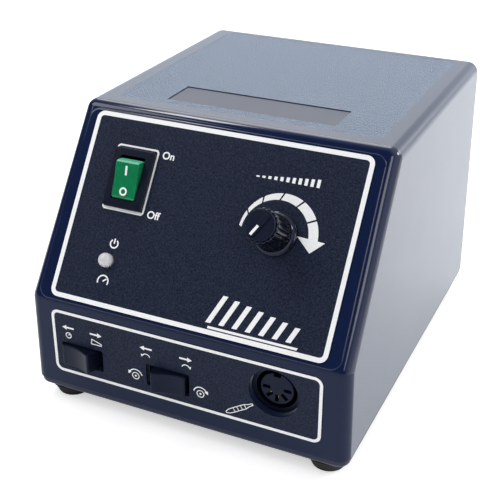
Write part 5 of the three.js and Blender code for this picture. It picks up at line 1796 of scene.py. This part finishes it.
@dataclass
class FuseHolder:
    """Panel fuse holder with a fluted, slotted cap that turns. Round parts are a radius and a height."""

    form: CaseForm
    flange: Point = (7.5, 1.8)
    barrel: Point = (6.0, -30.0)
    bore: Point = (3.7, -28.0)
    grip: Point = (6.2, 6.1)
    grip_edge: float = 0.7
    stem: Point = (3.4, -4.9)
    flutes: int = 30
    flute_depth: float = 0.24
    slot: Point = (1.4, 15.0)
    slot_floor: float = 4.6

    def cap(self) -> Shape:
        """Returns the cap on its stem, with flutes round its grip and no slot yet."""
        (radius, top), (stem, low) = self.grip, self.stem
        rows = [(stem - 0.4, low, 0), (stem, low + 0.4, 0), (stem, 2.1, 0), (radius - 0.3, 2.1, 0)]
        rows += [(radius, 2.4, 1), (radius, 5.2, 1)]
        rows += [(radius - inward, top - drop, 0) for inward, drop in edge_curve(self.grip_edge, 4)]
        rings = [fluted(reach, height, self.flutes, share * self.flute_depth, 4)
                 for reach, height, share in rows]
        return loft([[Vector((0, 0, low))], *rings, [Vector((0, 0, top))]])

    def build(self) -> None:
        """Makes the holder and the cap."""
        seat = self.form.back.at(*FUSE_AT, INNER_FACE)
        (flange, top), (barrel, low), (bore, floor) = self.flange, self.barrel, self.bore
        rim = [(flange - inward, top - drop) for inward, drop in edge_curve(0.5, 3)]
        profile = [(0, low), (barrel, low), (barrel, FLANGE_GAP), (flange, FLANGE_GAP), *rim]
        profile += [(bore, top), (bore, floor), (0, floor)]
        holder = make("fuse_holder_body", turned(profile, 48), BLACK_NYLON, place=seat)
        settle(holder, ["fuse_holder"])
        cap = make("fuse_holder_cap", self.cap(), BLACK_NYLON)
        cut(cap, hole("slot", rectangle(*self.slot, 0.1, 1), (0, 0), (self.slot_floor, 8), BLACK_NYLON))
        cap.data.transform(seat)
        settle(cap, ["fuse_cap"], "fuse_cap")
        dress(FUSE_GLASS, "fuse_link")


@dataclass
class FootJack:
    """Threaded jack for the foot control, held by a hexagon nut."""

    form: CaseForm
    case: float = 15.0
    case_reach: Point = (-21.8, -1.8)
    bore: Point = (3.6, -16.4)
    socket: float = 3.25
    top: float = 3.6
    crest: float = 4.4
    thread_depth: float = 0.25
    thread_reach: Point = (-4.4, 3.3)
    pitch: float = 0.5
    nut: float = 11.5
    nut_bore: float = 4.7
    nut_top: float = 2.3
    nut_chamfer: float = 0.35

    def barrel(self) -> Shape:
        """Returns the threaded barrel, which ends just inside the floor of the case's bore."""
        crest, root, socket, top = self.crest, self.crest - self.thread_depth, self.socket, self.top
        (bore, floor), (low, high) = self.bore, self.thread_reach
        profile, height, end = [(root, low)], low, floor - 0.01
        while height + self.pitch < high:
            profile += [(crest, height + self.pitch / 2), (root, height + self.pitch)]
            height += self.pitch
        profile += [(crest - 0.5, top), (socket + 0.3, top), (socket, top - 0.3), (socket, end)]
        return turned([*profile, (bore, end), (bore, low)], 48, looped=True)

    def ring_nut(self) -> Shape:
        """Returns the hexagon nut, with both its faces chamfered."""
        outline = rounded(circle(self.nut / 2 / math.cos(math.pi / 6), 6), 0.2, 3)
        face, inner = shrunk(outline, self.nut_chamfer), circle(self.nut_bore, len(outline))
        low, high = FLANGE_GAP, self.nut_top
        rings = [level(face, low), level(outline, low + 0.3), level(outline, high - 0.3), level(face, high)]
        return loft([*rings, level(inner, high), level(inner, low)], looped=True)

    def build(self) -> None:
        """Makes the jack and its nut."""
        seat = self.form.back.at(*JACK_AT, INNER_FACE)
        box = slab(rectangle(self.case, self.case, 0.8), *self.case_reach, top=0.3)
        body = make("foot_jack_case", box, BLACK_NYLON)
        radius, floor = self.bore
        cut(body, hole("bore", circle(radius, 48), (0, 0), (floor, 5), BLACK_NYLON))
        join(body, make("barrel", self.barrel(), BLACK_NYLON))
        body.data.transform(seat)
        settle(body, ["foot_jack_body"])
        nut = make("foot_jack_ring_nut", self.ring_nut(), ZINC, place=seat)
        settle(nut, ["foot_jack_nut"])


# Inside


@dataclass
class Transformer:
    """Laminated core with a taped winding, strapped to the tray."""

    form: CaseForm
    width: float = 57.0
    height: float = 48.0
    low: float = 11.8
    window: float = 9.5
    leg: float = 19.0
    sheets: int = 50
    pitch: float = 0.6
    sheet_half: float = 0.27
    winding: Point = (37.4, 50.0)
    winding_bore: Point = (19.6, 30.6)
    winding_gap: float = 0.3
    winding_edge: float = 1.0

    def sheet(self) -> Shape:
        """Returns one lamination with its two windows, upright across the case."""
        outline = rectangle(self.width, self.height, 0.4, 2)
        plate = make("sheet", slab(outline, -self.sheet_half, self.sheet_half), CORE_STEEL)
        window = rectangle(self.window, self.height - 2 * self.window)
        offset = (self.leg + self.window) / 2
        cut(plate, *[hole("window", window, (x, 0), (-1, 1), CORE_STEEL) for x in (-offset, offset)])
        return moved(taken(plate), turn(90, "X"))

    def build(self) -> None:
        """Makes the core and the winding."""
        x, y = CORE_AT[0], self.form.front + CORE_AT[1]
        first = -self.pitch * (self.sheets - 1) / 2
        core = repeated("core_sheets", self.sheet(), CORE_STEEL, self.sheets, (0, first, 0),
                        (0, self.pitch, 0), place=shift(x, y, self.low + self.height / 2))
        settle(core, ["transformer_core"])
        edge = self.winding_edge
        low = self.low + self.window + self.winding_gap
        high = self.low + self.height - self.window - self.winding_gap
        outer, inner = rectangle(*self.winding, 3.0), rectangle(*self.winding_bore, 0.4)
        rings = [level(inner, low), level(shrunk(outer, edge), low), level(outer, low + edge)]
        rings += [level(outer, high - edge), level(shrunk(outer, edge), high), level(inner, high)]
        winding = make("winding_tape", loft(rings, looped=True), TAPE, place=shift(x, y))
        settle(winding, ["transformer_winding"])
        dress(ZINC, "transformer_frame")


@dataclass
class CircuitBoard:
    """Driver board with a finned heat sink, a transistor and two smoothing capacitors."""

    form: CaseForm
    groove: Point = (2.2, 3.4)
    groove_depth: float = 0.7
    crimp: float = 1.8
    sunk: float = 0.3

    def capacitor(self, radius: float, height: float) -> Shape:
        """Returns a can with a crimped neck and a sunk top, on the origin."""
        low, high = self.groove
        neck, face = (radius - self.groove_depth, (low + high) / 2), height - self.sunk
        profile = [(0, 0), (radius - 0.5, 0), (radius, 0.5), (radius, low), neck, (radius, high)]
        profile += [(radius, height - 0.8), (radius - 0.8, height), (radius - 1.6, height)]
        return turned([*profile, (radius - self.crimp, face), (0, face)], 40)

    def build(self) -> None:
        """Makes the capacitors and dresses the rest of the board."""
        low, high = (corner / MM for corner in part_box("capacitor_1"))
        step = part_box("capacitor_2")[0] / MM - low
        centre = (low + high) / 2
        can = self.capacitor((high.x - low.x) / 2, high.z - low.z)
        cans = repeated("capacitors", can, SLEEVE, 2, (centre.x, centre.y, low.z), tuple(step))
        settle(cans, ["capacitor_1", "capacitor_2"])
        dress(BOARD, "circuit_board")
        dress(SINK, "heat_sink")
        dress(BLACK_NYLON, "power_transistor")


# Studio


WHITE = (1, 1, 1, 1)


@dataclass(frozen=True)
class Softbox:
    """A soft lamp that faces the unit, with its place, width and depth in metres and its power in watts."""

    name: str
    place: Triple
    size: Point
    power: float

    def hang(self, target: Vector) -> None:
        """Adds the lamp to the scene.

        Args:
            target: What it is aimed at.
        """
        data = bpy.data.lights.new(self.name, "AREA")
        data.shape = "RECTANGLE"
        data.size, data.size_y = self.size
        data.energy = self.power
        lamp = linked(self.name, data)
        lamp.location = self.place
        lamp.rotation_euler = (target - Vector(self.place)).to_track_quat("-Z", "Y").to_euler()


LAMPS = [
    Softbox("key", (0.55, -0.6, 0.62), (0.3, 0.3), 1.05),
    Softbox("front", (-0.6, -0.3, 0.75), (0.4, 0.4), 1.7),
    Softbox("top", (-0.45, 0.08, 0.97), (0.3, 0.12), 1.5),
    Softbox("spark", (0.75, 0.4, 0.59), (0.25, 0.25), 3.0),
    Softbox("rear", (-0.4, 0.7, 0.85), (0.6, 0.6), 3.4),
    Softbox("right", (0.66, 0.85, 0.5), (0.4, 0.4), 2.1),
]


@dataclass
class Studio:
    """Pale floor, plain soft light and the photograph's camera, in metres and degrees."""

    camera_at: Triple = (0.1363, -0.31605, 0.2178)
    azimuth: float = 24.6328
    elevation: float = 27.572
    roll: float = 0.2825
    lens: float = 71.79
    sensor: float = 36.0
    target: Triple = (0.0, 0.0, 0.05)
    bright_side: Triple = (0.55, 0.835, 0.0)
    fill: float = 0.62
    mirrored: Point = (0.06, 1.0)
    mirrored_from: Point = (-0.25, 0.35)
    floor_colour: tuple[float, float, float, float] = (0.85, 0.85, 0.86, 1.0)
    floor_glow: float = 0.5
    floor_mirrored_from: Point = (-0.08, 0.1)
    floor_reach: float = 3.0
    floor_drop: float = 0.0001

    def camera(self) -> None:
        """Sets the camera at the photograph's angle."""
        a, e, r = (math.radians(angle) for angle in (self.azimuth, self.elevation, self.roll))
        back = Vector((math.sin(a) * math.cos(e), -math.cos(a) * math.cos(e), math.sin(e)))
        level_right = Vector((math.cos(a), math.sin(a), 0))
        level_up = back.cross(level_right)
        right = level_right * math.cos(r) + level_up * math.sin(r)
        up = level_up * math.cos(r) - level_right * math.sin(r)
        data = bpy.data.cameras.new("photo_camera")
        data.lens = self.lens
        data.sensor_width = self.sensor
        camera = linked("photo_camera", data)
        axes = Matrix((right, up, back)).transposed().to_4x4()
        camera.matrix_world = Matrix.Translation(self.camera_at) @ axes
        bpy.context.scene.camera = camera

    def behind(self, tree: Tree, place: Socket, reach: Point, strength: Point = (0.0, 1.0)) -> Socket:
        """Adds a value that grows from before the unit to behind it.

        Args:
            tree: The world's or the floor's tree.
            place: What is measured.
            reach: Where the value starts and stops to grow.
            strength: The value before the unit and behind it.

        Returns:
            The value.
        """
        measure = {"operation": "DOT_PRODUCT", 1: self.bright_side}
        along = add(tree, "ShaderNodeVectorMath", measure, {0: place}).outputs["Value"]
        limits = {"From Min": reach[0], "From Max": reach[1], "To Min": strength[0], "To Max": strength[1]}
        return add(tree, "ShaderNodeMapRange", limits, {"Value": along}).outputs[0]

    def world(self) -> None:
        """Makes a white backdrop, with reflections that are white behind the unit and dim before it."""
        world = bpy.data.worlds.new("studio")
        bpy.context.scene.world = world
        tree = emptied(world)
        direction = add(tree, "ShaderNodeTexCoord").outputs["Generated"]
        rear = self.behind(tree, direction, self.mirrored_from, self.mirrored)
        path = add(tree, "ShaderNodeLightPath").outputs
        seen = add(tree, "ShaderNodeMath", {"operation": "MAXIMUM"},
                   {0: path["Is Camera Ray"], 1: path["Is Transmission Ray"]}).outputs[0]
        gloss = add(tree, "ShaderNodeBackground", {"Color": WHITE}, {"Strength": rear}).outputs[0]
        fill = add(tree, "ShaderNodeBackground", {"Color": WHITE, "Strength": self.fill}).outputs[0]
        white = add(tree, "ShaderNodeBackground", {"Color": WHITE, "Strength": 1.0}).outputs[0]
        lit = add(tree, "ShaderNodeMixShader", None, {0: path["Is Glossy Ray"], 1: fill, 2: gloss}).outputs[0]
        final = add(tree, "ShaderNodeMixShader", None, {0: seen, 1: lit, 2: white}).outputs[0]
        add(tree, "ShaderNodeOutputWorld", None, {0: final})

    def paint(self) -> bpy.types.Material:
        """Returns the floor's paint, which keeps shadows and goes over to the white backdrop."""
        material = bpy.data.materials.new("studio_floor")
        tree = emptied(material)
        pale = add(tree, "ShaderNodeBsdfDiffuse", {"Color": self.floor_colour}).outputs[0]
        path = add(tree, "ShaderNodeLightPath").outputs
        place = add(tree, "ShaderNodeNewGeometry").outputs["Position"]
        rear = self.behind(tree, place, self.floor_mirrored_from)
        times = {"operation": "MULTIPLY"}
        mirrored = add(tree, "ShaderNodeMath", times, {0: rear, 1: path["Is Glossy Ray"]}).outputs[0]
        seen = add(tree, "ShaderNodeMath", {"operation": "MAXIMUM"}, {0: path["Is Camera Ray"], 1: mirrored})
        glow = add(tree, "ShaderNodeMath", {**times, 1: self.floor_glow}, {0: seen.outputs[0]}).outputs[0]
        light = add(tree, "ShaderNodeEmission", {"Color": WHITE}, {"Strength": glow}).outputs[0]
        both = add(tree, "ShaderNodeAddShader", None, {0: pale, 1: light}).outputs[0]
        add(tree, "ShaderNodeOutputMaterial", None, {0: both})
        return material

    def floor(self) -> None:
        """Lays the pale floor just below the feet."""
        mesh = bpy.data.meshes.new("studio_floor")
        reach = self.floor_reach
        corners = [(-reach, -reach, 0), (reach, -reach, 0), (reach, reach, 0), (-reach, reach, 0)]
        mesh.from_pydata(corners, [], [(0, 1, 2, 3)])
        mesh.materials.append(self.paint())
        ground = linked("studio_floor", mesh)
        ground.location.z = -self.floor_drop

    def build(self) -> None:
        """Sets the whole studio."""
        bpy.context.scene.view_settings.view_transform = "Standard"
        self.camera()
        self.world()
        self.floor()
        for lamp in LAMPS:
            lamp.hang(Vector(self.target))


@dataclass
class Micromotor:
    """The whole control unit, built piece by piece from one case form."""

    form: CaseForm = field(default_factory=CaseForm)
    paddle_tilt: float = 11.6

    def build(self) -> None:
        """Builds every sub-assembly."""
        kinds = [UpperHousing, BaseTray, Feet, Overlays, PowerSwitch, OverloadLamp, SpeedControl, MotorSocket]
        kinds += [RearPanel, MainsInlet, FuseHolder, FootJack, Transformer, CircuitBoard]
        paddles = [
            PaddleRocker(self.form, "feed", FEED_AT, -self.paddle_tilt),
            PaddleRocker(self.form, "direction", DIRECTION_AT, self.paddle_tilt),
        ]
        for part in [*(kind(self.form) for kind in kinds), *paddles]:
            part.build()


def main() -> None:
    """Builds the unit and the studio round it."""
    logging.basicConfig(level=logging.INFO, format="%(name)s %(levelname)s %(message)s")
    Micromotor().build()
    Studio().build()


if __name__ == "__main__":
    main()
